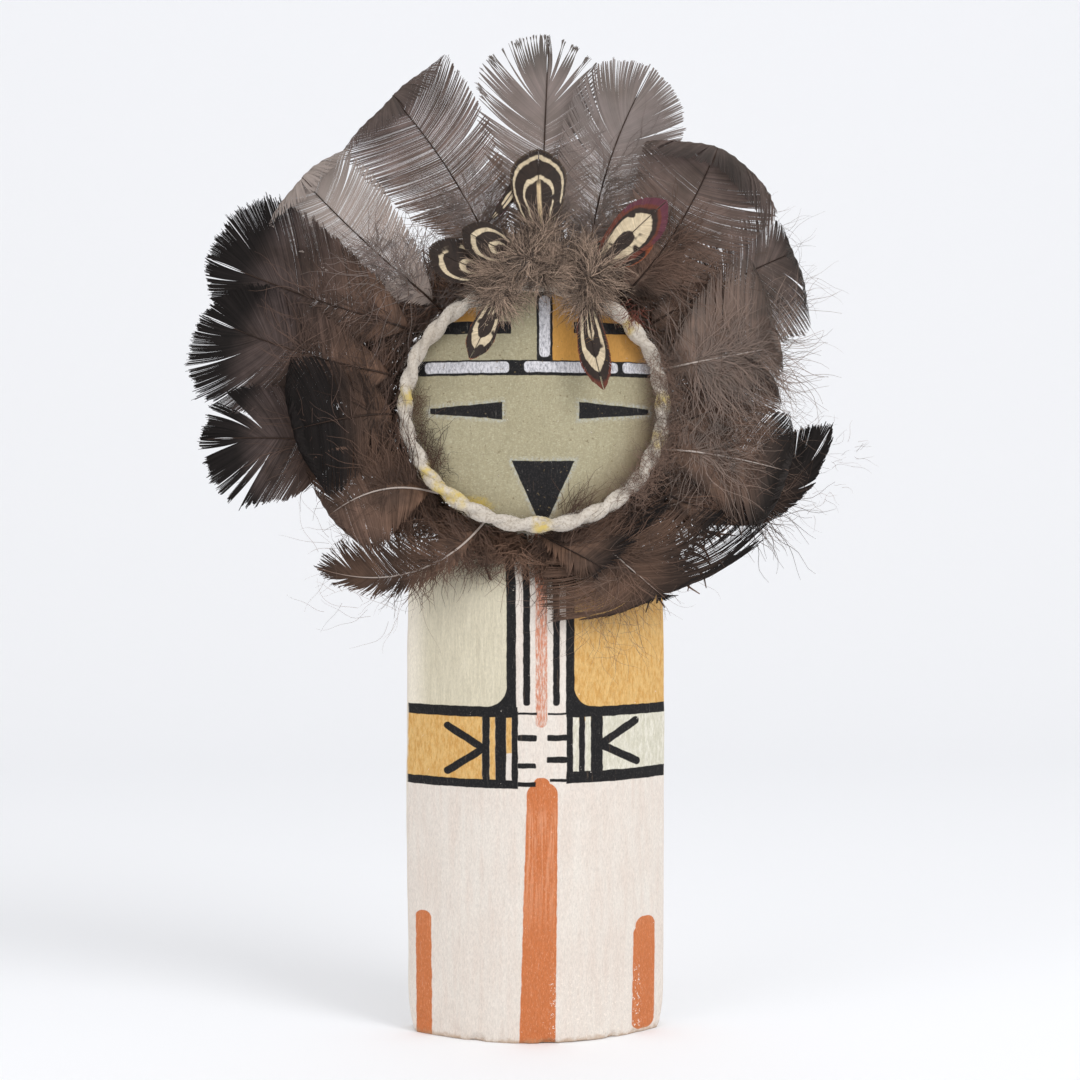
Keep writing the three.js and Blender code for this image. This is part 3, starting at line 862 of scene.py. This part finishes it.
def vane(strands, plume, side, half, peak, lean, rng, look):
    """The barbs of one side of a feather: flat ribbons that end on the feather's outline."""
    length = plume.length
    share = even_shares(length, half, peak, look)
    count = len(share)
    clump, place, number = clumps(rng, count, *look["clump"])

    def uneven(by_clump, by_barb):
        return by_clump * rng.normal(size=number)[clump] + by_barb * rng.normal(size=count)

    outline_b = half * spread(share, peak)
    outline_a = length * share + outline_b / math.tan(math.radians(lean))
    base = length * (share - look["crown"] * smoothstep(0.5, 1.0, share))
    base += rng.uniform(-0.4, 0.4, count) * look["pitch"]
    ahead = outline_a - base
    long = np.hypot(ahead, outline_b)
    ragged = 1 + look["ragged"] * uneven(1.0, 0.8)
    ahead, reach = ahead * ragged, outline_b * ragged

    # The sideways shifts of the barbs, in millimetres, towards the feather's root.
    drift = sum(look["sway"] * np.sin(share * rng.uniform(8, 40) + rng.uniform(0, 6.3)) for _ in range(3))
    stray = np.radians(look["stray"]) * long * uneven(1.0, 0.3)
    opened = np.zeros(count)
    for split in rng.uniform(look["bare"] + 0.15, 0.99, look["splits"]):
        away = (share - split) * length
        opened -= np.sign(away) * rng.uniform(0.4, 1.2) * look["split_width"] * np.exp(-np.abs(away) / 3.5)
    gather = place * look["gather"] * look["pitch"] * look["clump"][1] / 2
    t = np.linspace(0, 1, look["rows"])[None] ** 0.75
    shifts = ((drift, 2), (opened, 2.2), (stray, 3), (gather, 6))
    shift = sum(amount[:, None] * t**power for amount, power in shifts)
    shift = shift + (look["bend"] * long)[:, None] * np.sin(math.pi * t)
    back = (reach / np.maximum(long, 1e-6))[:, None]
    aside = (ahead / np.maximum(long, 1e-6))[:, None]
    a = base[:, None] + ahead[:, None] * t - back * shift
    b = side * (reach[:, None] * t + aside * shift)
    lift = look["jitter"] * rng.normal(size=number)[clump][:, None] * t**2
    lift = lift + 0.05 * rng.normal(size=(count, 1)) * t
    lines, normals = plume.lay(a, b, lift)

    widths = look["width"] * rng.uniform(0.75, 1.25, (count, 1)) * (1 - look["taper"] * t**3)
    along = a / length
    dark = look["dark"] * smoothstep(look["dark_from"], look["dark_to"], along) + look["rim"] * t**4
    dark = np.maximum(dark, look["shade"] * smoothstep(0.25, 0.6, along))
    warm = look["warm"] + (1 - look["warm"]) * smoothstep(0.75, 0.2, along)
    layers = barb_layers(
        a.shape, dark=np.clip(dark, 0, 1), warm=np.clip(warm, 0, 1), pale=look["pale"],
        tone=uneven(0.6, 0.6)[:, None], nest=nesting(a, b, length, outline_a, outline_b), along=along,
        side=b / half,
    )
    strands.ribbons(lines, widths, normals, layers, np.stack([b, a], axis=-1))


def nesting(a, b, length, outline_a, outline_b):
    """0 at the heart of a feather and 1 on its outline, for marks that follow the outline."""
    heart = 0.40 * length
    ahead = a - heart
    round_heart = np.arctan2(outline_b, outline_a - heart)
    order = np.argsort(round_heart)
    radius = np.hypot(outline_b, outline_a - heart)
    limit = np.interp(np.arctan2(np.abs(b), ahead), round_heart[order], radius[order])
    beside = np.interp(a, outline_a, outline_b)
    return np.where(ahead > 0, np.hypot(ahead, b) / limit, np.abs(b) / np.maximum(beside, 0.3))


def quill_tube(strands, plume, thick, pale, lift):
    a = np.linspace(0, plume.length * 0.98, 28)
    line, _ = plume.lay(a, np.zeros_like(a), lift)
    share = a / plume.length
    layers = barb_layers(a.shape, dark=0.0 if pale > 0 else 0.75, warm=1.0,
                         pale=pale * smoothstep(1.0, 0.6, share), along=share)
    strands.tube(line, thick * (1 - 0.8 * share) + 0.03, layers, np.stack([np.zeros_like(a), a], axis=-1))


def curly(rng, starts, headings, lengths, rows, wave):
    """Wavy lines in the X and Z plane that wander in depth. starts is (n, 3)."""
    count = len(starts)
    t = np.linspace(0, 1, rows)[None]

    def ripple(slow, fast):
        return np.sin(t * rng.uniform(slow, fast, (count, 1)) + rng.uniform(0, 6.3, (count, 1)))

    turn = headings[:, None] + 0.6 * rng.normal(size=(count, 1)) * t**1.3
    turn = turn + wave * ripple(4, 11)
    step = lengths[:, None] / (rows - 1)
    x = starts[:, 0:1] + np.cumsum(np.cos(turn) * step, axis=1)
    z = starts[:, 2:3] + np.cumsum(np.sin(turn) * step, axis=1)
    y = starts[:, 1:2] + rng.normal(size=(count, 1)) * 0.10 * lengths[:, None] * t
    return np.stack([x, y + 0.4 * ripple(4, 9), z], axis=-1)


def filaments(strands, rng, roots, headings, lengths, look, rise=0.0, width=0.12, origin=(HEAD_X, HEAD_Z),
              rows=10, wave=0.35):
    """Soft wavy filaments from roots (n, 3), as ribbons that face forward. Bundles share a tone."""
    lines = curly(rng, roots, headings, lengths, rows, wave)
    count = len(roots)
    t = np.linspace(0, 1, rows)[None]
    lines[..., 1] -= t * np.broadcast_to(rise, count)[:, None]
    widths = np.broadcast_to(width * (1 - 0.65 * t**2), lines.shape[:2])
    flat = np.stack([lines[..., 0] - origin[0] + 60, lines[..., 2] - origin[1]], axis=-1)
    look = {"warm": 1.0, "bundle": BUNDLE, **look}
    bundle = look.pop("bundle")
    shared = np.repeat(rng.normal(size=count // bundle + 1), bundle)[:count]
    tone = 0.9 * shared + 0.5 * rng.normal(size=count)
    layers = barb_layers(lines.shape[:2], tone=tone[:, None], **look)
    strands.ribbons(lines, widths, np.broadcast_to(FORWARD, lines.shape), layers, flat)


def down(strands, plume, rng, count, reach, lengths, look, front, width):
    """The fluff on both sides of the lower quill, in small bundles."""
    groups = max(count // BUNDLE, 1)

    def bundled(values):
        return np.repeat(values, BUNDLE)

    a = bundled(rng.uniform(0.0, 1.0, groups) ** 1.3 * reach * plume.span)
    side = bundled(rng.choice((-1, 1), groups))
    root, heading = plume.on_quill(a, np.zeros_like(a), 0.3)
    heading += side * np.radians(bundled(rng.uniform(8, 100, groups)) + rng.normal(size=len(a)) * 9)
    length = bundled(rng.uniform(*lengths, groups)) * rng.uniform(0.75, 1.15, len(a))
    rise = bundled(rng.uniform(-0.8, front, groups))
    filaments(strands, rng, root, heading, length, look, rise, width, plume.line[0])


def wisps(strands, plume, rng, count, width, lengths=(6, 17)):
    """A few long thin hairs that leave the outer half of a feather and pass its edge."""
    a = rng.uniform(0.45, 1.0, count) * plume.span
    b = rng.uniform(-0.8, 0.8, count) * width
    root, heading = plume.on_quill(a, b, -1.2)
    heading = heading + np.radians(b / width * 60 + rng.normal(size=count) * 50)
    filaments(strands, rng, root, heading, rng.uniform(*lengths, count), {"pale": 0.12}, 0.5, 0.07,
              plume.line[0], 12, 0.25)


# ---- Ruff ----

RUFF_LOOK = dict(
    bare=0.06,  # share of the quill with no barbs
    crown=0.10,  # how far back on the quill the barbs of the tip start, as a share of it
    pitch=0.17, width=0.165, taper=0.25, rows=10,  # of the barbs
    clump=(3, 9),  # fewest and most barbs in a clump
    ragged=0.012, sway=0.25, stray=0.25, gather=0.30, bend=0.03, jitter=0.2, splits=3, split_width=0.8,
    dark=0.0, dark_from=0.7, dark_to=1.0,  # towards the tip, from and to these shares of the length
    rim=0.0, shade=0.0, warm=0.15, pale=0.0,
    down=480, down_reach=0.5, down_length=(8, 22), down_warm=0.9, down_pale=0.0, down_dark=0.08,
)
BLACK_FRINGE = dict(
    dark=1.0, dark_from=0.60, dark_to=0.86, ragged=0.026, stray=0.08, gather=0.02, splits=1, split_width=0.5,
    rim=0.35, taper=0.1, pitch=0.13, width=0.16, shade=0.5, warm=0.25, clump=(2, 6), crown=0.20,
    down_warm=0.7, down=300, down_dark=0.3,
)
SHEER = dict(pale=0.30, width=0.145, down=340, down_warm=0.3, down_pale=0.16, down_reach=0.5)
FLUFFY = dict(warm=1.0, gather=0.6, stray=1.2, ragged=0.05, splits=6)

# The ruff as in the CAD model. Angles are in degrees round the face's centre, anticlockwise from
# +X. A row is the name, the angles of the root and the tip, the tip's distance, the quill's bow, the
# widths to its left and right, the share of it that is widest, the barbs' lean and the layer.
RUFF = [
    ("top", 88, 88, 102, 0, 19, 16, 0.60, 60, 0),
    ("top_right", 66, 71, 99, 4, 16, 16, 0.62, 60, 1),
    ("top_left", 104, 115, 93, -3, 21, 18, 0.76, 76, 1),
    ("upper_left", 133, 136, 89, 1, 15, 15, 0.76, 76, 2),
    ("left_high", 146, 156, 98, 1, 14, 21, 0.62, 62, 3),
    ("left_middle", 167, 165, 94, 2, 21, 14, 0.62, 64, 4),
    ("left_low", 201, 186, 92, -2, 18, 14, 0.62, 64, 5),
    ("left_front", 183, 186, 67, -1, 20, 19, 0.66, 82, 7),
    ("lower_left", 222, 208, 64, -4, 16, 15, 0.66, 80, 6),
    ("bottom_left", 246, 216, 75, 8, 5, 11, 0.50, 50, 5),
    ("bottom_front", 271, 292, 48, 0, 28, 6, 0.60, 66, 4),
    ("bottom_right", 290, 304, 64, 0, 34, 24, 0.72, 64, 2),
    ("lower_right", 326, 357, 84, -16, 14, 5, 0.50, 58, 1),
    ("right_low", 342, 346, 73, 1, 16, 18, 0.62, 70, 3),
    ("right_curled", 352, 8, 66, -2, 9, 9, 0.70, 70, 4),
    ("right_front", 17, 14, 70, 0, 25, 10, 0.66, 82, 5),
    ("right_high", 36, 31, 84, 1, 14, 22, 0.66, 74, 2),
    ("upper_right", 52, 55, 87, -3, 19, 22, 0.74, 78, 3),
]
# Rolled tips: the length that is rolled forward, and how far the roll's ends lie back.
FOLDS = dict(
    top_left=(9, 2), upper_left=(8, 3), left_front=(6, 5), lower_left=(5, 3), right_low=(5, 5),
    right_curled=(5, 3), right_front=(5, 4), right_high=(5, 4), upper_right=(9, 9),
)
PALE_QUILLS = dict(lower_left=0.8, bottom_left=0.8, bottom_right=0.7, right_low=0.9, right_front=0.9)
LEAN_RIGHT = dict(bottom_right=118)  # where the barbs at the quill's right lean another way
# Loose hairs: how many, how far beside the quill they start and how long they are.
WISPS = dict(
    bottom_left=(60, 14), bottom_front=(60, 22), bottom_right=(160, 28, (5, 14)), right_low=(90, 18),
    lower_right=(120, 14, (3, 7)), right_curled=(120, 10), right_high=(120, 20),
)
LOOKS = dict(
    top=dict(SHEER, dark=1.0, dark_from=0.80, dark_to=0.94, splits=6, split_width=1.8, gather=0.5,
             clump=(5, 14), crown=0.18, pale=0.24, rim=0.5),
    top_right=dict(SHEER, dark=0.2, dark_from=0.88, gather=0.2, warm=0.0, crown=0.18, pale=0.26),
    top_left=dict(SHEER, dark=0.5, dark_from=0.82, splits=2, pale=0.06, warm=0.3),
    upper_left=dict(SHEER, warm=0.3, splits=2, pale=0.48),
    left_high=BLACK_FRINGE,
    left_middle=BLACK_FRINGE,
    left_low=dict(BLACK_FRINGE, split_width=1.6, splits=4),
    left_front=dict(warm=0.8, dark=1.0, dark_from=0.05, dark_to=0.55, shade=0.9, splits=2,
                    down_reach=0.3, down=150, down_dark=0.7),
    lower_left=dict(warm=0.8, dark=0.5, splits=3, down_dark=0.3),
    bottom_left=dict(FLUFFY, dark=0.8, dark_from=0.5, shade=0.4, down=330, down_dark=0.35,
                     down_length=(5, 13)),
    bottom_front=dict(FLUFFY, dark=0.8, rim=0.4, down_dark=0.4),
    bottom_right=dict(FLUFFY, stray=0.5, ragged=0.03, gather=0.3, bend=-0.12, dark=0.85, dark_from=0.45,
                      rim=0.45, pitch=0.13),
    lower_right=dict(BLACK_FRINGE, warm=0.8, dark_from=0.2, shade=0.8),
    right_low=dict(warm=0.9, dark=1.0, dark_from=0.5, dark_to=0.85, down=420, rim=0.5, pale=0.03,
                   down_pale=0.20),
    right_curled=dict(warm=0.9, dark=0.6, rim=0.4, pale=0.06),
    right_front=dict(warm=0.85, dark=0.35, pale=0.14, rim=0.5, down=900, down_reach=0.85,
                     down_length=(10, 26), down_pale=0.20),
    right_high=dict(warm=0.3, pale=0.08, dark=0.8, dark_from=0.8, rim=0.8, bend=-0.06, gather=0.4),
    upper_right=dict(dark=0.9, dark_from=0.74, warm=0.4, pitch=0.14, width=0.18, shade=0.1, pale=0.06,
                     down_warm=0.8, down=420),
)
RUFF_CUP = 1.5
RUFF_QUILL = 0.28


def ruff_feather(row, number, material):
    name, root_angle, tip_angle, tip_radius, bow, left, right, peak, lean, layer = row
    rng = np.random.default_rng(SEED + 100 + number)
    root_angle, tip_angle = math.radians(root_angle), math.radians(tip_angle)
    root = polar(head_edge(root_angle) + ROOT_GAP, root_angle)
    fold, round_end = FOLDS.get(name, (0, 1))

    def depth(x, z, _):
        return ruff_y(x, z) - layer * LAYER_PITCH

    plume = Plume(root, polar(tip_radius, tip_angle), bow, depth, max(left, right), RUFF_CUP, fold, round_end)
    look = {**RUFF_LOOK, **LOOKS[name]}
    strands = Strands()
    vane(strands, plume, 1, left, peak, lean, rng, look)
    vane(strands, plume, -1, right, peak, LEAN_RIGHT.get(name, lean), rng, look)
    quill_tube(strands, plume, RUFF_QUILL, PALE_QUILLS.get(name, 0.0), 0.25)
    fluff = {key: look["down_" + key] for key in ("dark", "warm", "pale")}
    down(strands, plume, rng, look["down"], look["down_reach"], look["down_length"], fluff, 2.6, 0.17)
    if name in WISPS:
        wisps(strands, plume, rng, *WISPS[name])
    piece = "ruff_plume_" + name
    place_piece(piece, strands.mesh(piece), material, "ruff_plumage", "ruff_feather_" + name)


def plumage_material():
    material, shader = new_material("plumage", (92, 80, 74), 0.6)
    graph = Graph(material.node_tree)
    metres = graph.metres()
    colour = graph.mix(graph.attribute("warm"), (92, 82, 82), (104, 80, 66))
    colour = graph.coat(colour, graph.ramp(graph.noise(metres, 90), 0.35, 0.80), (64, 51, 44))
    colour = graph.coat(colour, graph.attribute("dark"), (24, 20, 19))
    tone = graph.between(graph.attribute("tone"), -2.0, 2.0, 0.55, 1.6)
    bars = graph.math("MULTIPLY_ADD", graph.noise(metres, 420, 2.0), 0.5, 0.75)
    colour = graph.scaled(colour, graph.times(tone, bars))
    graph.feed(shader.inputs["Base Color"], graph.coat(colour, graph.attribute("pale"), (192, 180, 172)))
    shader.inputs["Specular IOR Level"].default_value = 0.12
    return material


# The mat of wide filaments behind the fluff: how many, how pale, the arc that they fill in degrees,
# and how far they start from the head.
MAT = (
    (700, 0.0, -215, -140, 17),
    (700, 0.0, -140, -30, 5),
    (380, 0.0, -55, -15, 24),
    (1000, 0.0, -30, 70, 19),
    (350, 0.0, 70, 112, 8),
    (420, 0.25, 112, 145, 8),
)
# Fluff caught on the ring: an arc of it in degrees, how far from its line the filaments start,
# how far in front, how many there are, how long they are and their looks.
CAUGHT = (
    (-48, 26, -0.5, 4.0, 3.2, 1150, (3, 8), {"warm": 0.9, "pale": 0.06}),
    (172, 214, -5.5, -1.2, 0.8, 330, (2, 5), {"dark": 0.35}),
    (213, 222, -6.5, -2.5, 1.0, 26, (3, 6), {"dark": 0.8}),
    (60, 80, 0.5, 3.0, 2.5, 60, (2, 6), {"pale": 0.15}),
)
COLLAR_COUNT = 3400


def on_ruff(rng, angle, nearest, farthest, front, back):
    """Places near the ruff's back layer, at random distances from the head's edge and in depth."""
    x, z = polar(head_edge(angle) + rng.uniform(nearest, farthest, len(angle)), angle)
    return np.stack([x, ruff_y(x, z) + rng.uniform(front, back, len(angle)), z], axis=1)


def down_collar(material):
    """The fluff behind the ring, where the feathers' roots come together."""
    rng = np.random.default_rng(SEED + 150)
    strands = Strands()
    groups = COLLAR_COUNT // BUNDLE
    angle = np.repeat(rng.uniform(0, 2 * math.pi, groups), BUNDLE)
    root = on_ruff(rng, angle, 0.8, 9, -4.5, 1.0)
    turned = np.repeat(rng.normal(size=groups) * 0.7, BUNDLE) + rng.normal(size=len(angle)) * 0.12
    length = np.repeat(rng.uniform(7, 15, groups), BUNDLE) * rng.uniform(0.8, 1.15, len(angle))
    rise = rng.uniform(-0.5, 1.5, len(angle))
    filaments(strands, rng, root, angle + turned, length, {"dark": 0.05}, rise, 0.15, rows=8)
    # A soft mat behind, so that no light shows through beside the head.
    for count, pale, low, high, far in MAT:
        angle = np.radians(rng.uniform(low, high, count))
        root = on_ruff(rng, angle, -0.5, far, 0.5, 2.0)
        heading = angle + rng.choice((-1, 1), count) * rng.uniform(0.3, 1.5, count)
        look = {"dark": 0.1, "pale": pale}
        filaments(strands, rng, root, heading, rng.uniform(6, 12, count), look, 0.0, 0.8, rows=5, wave=0.1)
    for low, high, inner, outer, lift, count, lengths, look in CAUGHT:
        arc = np.radians(rng.uniform(low, high, count))
        line, outward = ring_frame(arc)
        root = line + outward * rng.uniform(inner, outer, count)[:, None]
        root[:, 1] = line[:, 1] - lift * rng.uniform(0.2, 1.0, count)
        heading, length = rng.uniform(0, 2 * math.pi, count), rng.uniform(*lengths, count)
        filaments(strands, rng, root, heading, length, look, 0.2, 0.09, rows=8, wave=0.7)
    place_piece("ruff_down_collar", strands.mesh("ruff_down_collar"), material, "ruff_plumage")


def make_ruff():
    material = plumage_material()
    for number, row in enumerate(RUFF):
        ruff_feather(row, number, material)
    down_collar(material)


# ---- Crest ----

CREST_ROOT_Y = -18.6
CREST_HANG = 3.5  # how far forward of its root the tip of a feather that hangs straight down is
CREST_PEAK, CREST_LEAN, CREST_CUP, CREST_QUILL = 0.60, 70, -0.8, 0.16
CREST_LOOK = dict(RUFF_LOOK, crown=0.22, pitch=0.11, width=0.13, rows=11, ragged=0.006, clump=(4, 10),
                  gather=0.05, stray=0.25, splits=0, jitter=0.1, bare=0.10, sway=0.08)

WINE = (92, 44, 56)
COPPER = (150, 78, 44)
RUST = (98, 48, 34)
UMBER = (74, 58, 44)

# A row is the name, the root from the face's centre, the heading in degrees, the length, the width,
# the bow, the layer and how many filaments of down.
CREST = (
    ("centre", 1.5, 42.5, 93, 27, 15.5, 0.6, 1, 400),
    ("thin", -14, 49, 56, 18, 3.6, -1, 0, 0),
    ("upper_left", -1.5, 39.0, 157, 21, 10.5, 0.8, 2, 420),
    ("left", -8.5, 34.5, 158, 22.5, 11.5, 1.2, 0, 600),
    ("hanging_left", -10.3, 32, 247, 22, 7.4, 0.5, 1, 450),
    ("hanging_right", 13.2, 32.5, 279, 29, 8.6, -1, 0, 500),
    ("right", 13.5, 34.0, 45, 30.5, 12.5, 0.5, 2, 450),
    ("behind_right", 8, 38.5, 12, 24, 9, 0.4, 0, 400),
)
# The cream lines, as shares of the way from a feather's heart to its outline, the outermost colour
# and where it starts, and the colour of the last part of the feather and where that starts.
MARKS = dict(
    centre=(((0.46, 0.54), (0.80, 0.88)), (0.95, UMBER), (1.2, UMBER)),
    thin=(((0.10, 0.45),), (0.95, WINE), (0.9, WINE)),
    upper_left=(((0.20, 0.32), (0.64, 0.77)), (0.97, UMBER), (1.2, UMBER)),
    left=(((0.20, 0.32), (0.66, 0.78)), (0.97, UMBER), (1.2, UMBER)),
    hanging_left=(((0.08, 0.20), (0.50, 0.76)), (0.97, COPPER), (0.97, COPPER)),
    hanging_right=(((0.08, 0.18), (0.48, 0.70)), (0.90, RUST), (0.88, RUST)),
    right=(((0.30, 0.66),), (0.76, RUST), (0.62, WINE)),
    behind_right=(((0.62, 0.74),), (0.94, COPPER), (0.88, COPPER)),
)
STREAKS = dict(centre=0.06)  # the half width of a cream streak along the quill
# Puffs of down in the knot of the crest: place from the face's centre, the middle of the way
# the tufts point and how far they fan out to each side of it, in degrees, and how many strands.
PUFFS = (
    (-9, 34, 200, 110, 1150),
    (-3, 37, 110, 100, 560),
    (6, 38, 70, 110, 620),
    (13, 34, 330, 120, 1150),
    (1.5, 35, 90, 180, 760),
)
TUFT = 12
RUST_TUFT_X, RUST_TUFT_Z, RUST_TUFT_COUNT = 26, 25.5, 70


def crest_material(name, bands, rim, end, streak=0.0):
    """Dark brown with cream lines that follow the outline, a streak on the quill and a rim."""
    material, shader = new_material(name, (88, 70, 54), 0.5)
    graph = Graph(material.node_tree)
    metres = graph.metres()
    grain = graph.noise(metres, 900, 2.0)
    ragged = graph.math("MULTIPLY_ADD", graph.noise(metres, 500, 2.0), 0.10, -0.05)
    nest = graph.math("ADD", graph.attribute("nest"), ragged)
    along = graph.math("ADD", graph.attribute("along"), ragged)
    tone = graph.attribute("tone")
    colour = graph.mix(grain, (30, 21, 17), (52, 38, 30))
    whole = graph.ramp(graph.noise(metres, 230, 1.0), 0.36, 0.42)  # the cream lines have gaps
    for low, high in bands:
        band = graph.times(graph.ramp(nest, low, low + 0.03), graph.ramp(nest, high + 0.03, high))
        cream = graph.mix(grain, (176, 158, 130), (218, 202, 172))
        colour = graph.coat(colour, band, cream, whole)
    if streak:
        side = graph.math("ABSOLUTE", graph.attribute("side"))
        line = graph.times(graph.ramp(side, streak + 0.04, streak * 0.5), graph.ramp(along, 0.70, 0.60))
        colour = graph.coat(colour, line, (214, 190, 152))
    colour = graph.coat(colour, graph.ramp(nest, rim[0], rim[0] + 0.05), rim[1])
    at_end = graph.times(graph.ramp(along, end[0], end[0] + 0.06), graph.ramp(nest, 0.84, 0.88))
    colour = graph.coat(colour, at_end, end[1])
    fluff = graph.mix(graph.ramp(tone, -1.2, 1.4), (46, 33, 26), (160, 137, 119))
    colour = graph.coat(colour, graph.attribute("pale"), fluff)
    colour = graph.scaled(colour, graph.between(tone, -2.0, 2.0, 0.8, 1.25))
    graph.feed(shader.inputs["Base Color"], colour)
    shader.inputs["Specular IOR Level"].default_value = 0.3
    return material


def crest_feather(row, number):
    name, x, z, heading, length, width, bow, layer, fluff = row
    rng = np.random.default_rng(SEED + 200 + number)
    heading = math.radians(heading)
    root = np.array((HEAD_X + x, HEAD_Z + z))
    tip = root + length * np.array((math.cos(heading), math.sin(heading)))
    hang = max(-math.sin(heading), 0) * CREST_HANG

    def depth(_x, _z, share):
        return CREST_ROOT_Y - layer * LAYER_PITCH - hang * share

    half = width / 2
    plume = Plume(root, tip, bow, depth, half, CREST_CUP)
    strands = Strands()
    for side in (1, -1):
        vane(strands, plume, side, half, CREST_PEAK, CREST_LEAN, rng, CREST_LOOK)
    quill_tube(strands, plume, CREST_QUILL, 0.0, 0.2)
    if fluff:
        down(strands, plume, rng, fluff, 0.2, (4, 11), {"pale": 1.0}, 1.6, 0.12)
    material = crest_material("crest_" + name, *MARKS[name], STREAKS.get(name, 0.0))
    piece = "crest_plume_" + name
    place_piece(piece, strands.mesh(piece), material, "crest_plumage", "crest_feather_" + name)


def crest_knot():
    """The soft puffs of down that hide where the crest is tied."""
    rng = np.random.default_rng(SEED + 300)
    strands = Strands()
    for x, z, middle, fan, count in PUFFS:
        groups = count // TUFT
        root = np.repeat(rng.normal(size=(groups, 3)) * (2.0, 0.5, 1.6), TUFT, axis=0)
        root = root + rng.normal(size=root.shape) * 0.3 + (HEAD_X + x, CREST_ROOT_Y - 1.0, HEAD_Z + z)
        heading = np.repeat(np.radians(middle + rng.uniform(-fan, fan, groups)), TUFT)
        heading = heading + rng.normal(size=len(heading)) * 0.22
        length = np.repeat(rng.uniform(4.5, 9.5, groups), TUFT) * rng.uniform(0.6, 1.1, len(heading))
        rise = np.repeat(rng.uniform(-0.6, 2.4, groups), TUFT)
        look = {"pale": 1.0, "bundle": TUFT}
        filaments(strands, rng, root, heading, length, look, rise, 0.085, rows=7, wave=0.05)
    # A tuft of rust-coloured barbs hangs by the ring.
    count = RUST_TUFT_COUNT
    root = np.array((HEAD_X + RUST_TUFT_X, CREST_ROOT_Y - 0.5, HEAD_Z + RUST_TUFT_Z))
    root = root + rng.normal(size=(count, 3)) * (1.6, 0.4, 1.4)
    heading, length = rng.uniform(3.4, 5.6, count), rng.uniform(2, 5, count)
    filaments(strands, rng, root, heading, length, {"nest": 1.0}, 0.2, 0.12, rows=6, wave=0.3)
    material = crest_material("crest_down", (), (0.9, RUST), (2.0, UMBER))
    place_piece("crest_down_knot", strands.mesh("crest_down_knot"), material, "crest_plumage")


def make_crest():
    for number, row in enumerate(CREST):
        crest_feather(row, number)
    crest_knot()


# ---- Assembly ----

make_camera()
make_floor()
make_light()
make_wood()
make_yarn()
make_ruff()
make_crest()
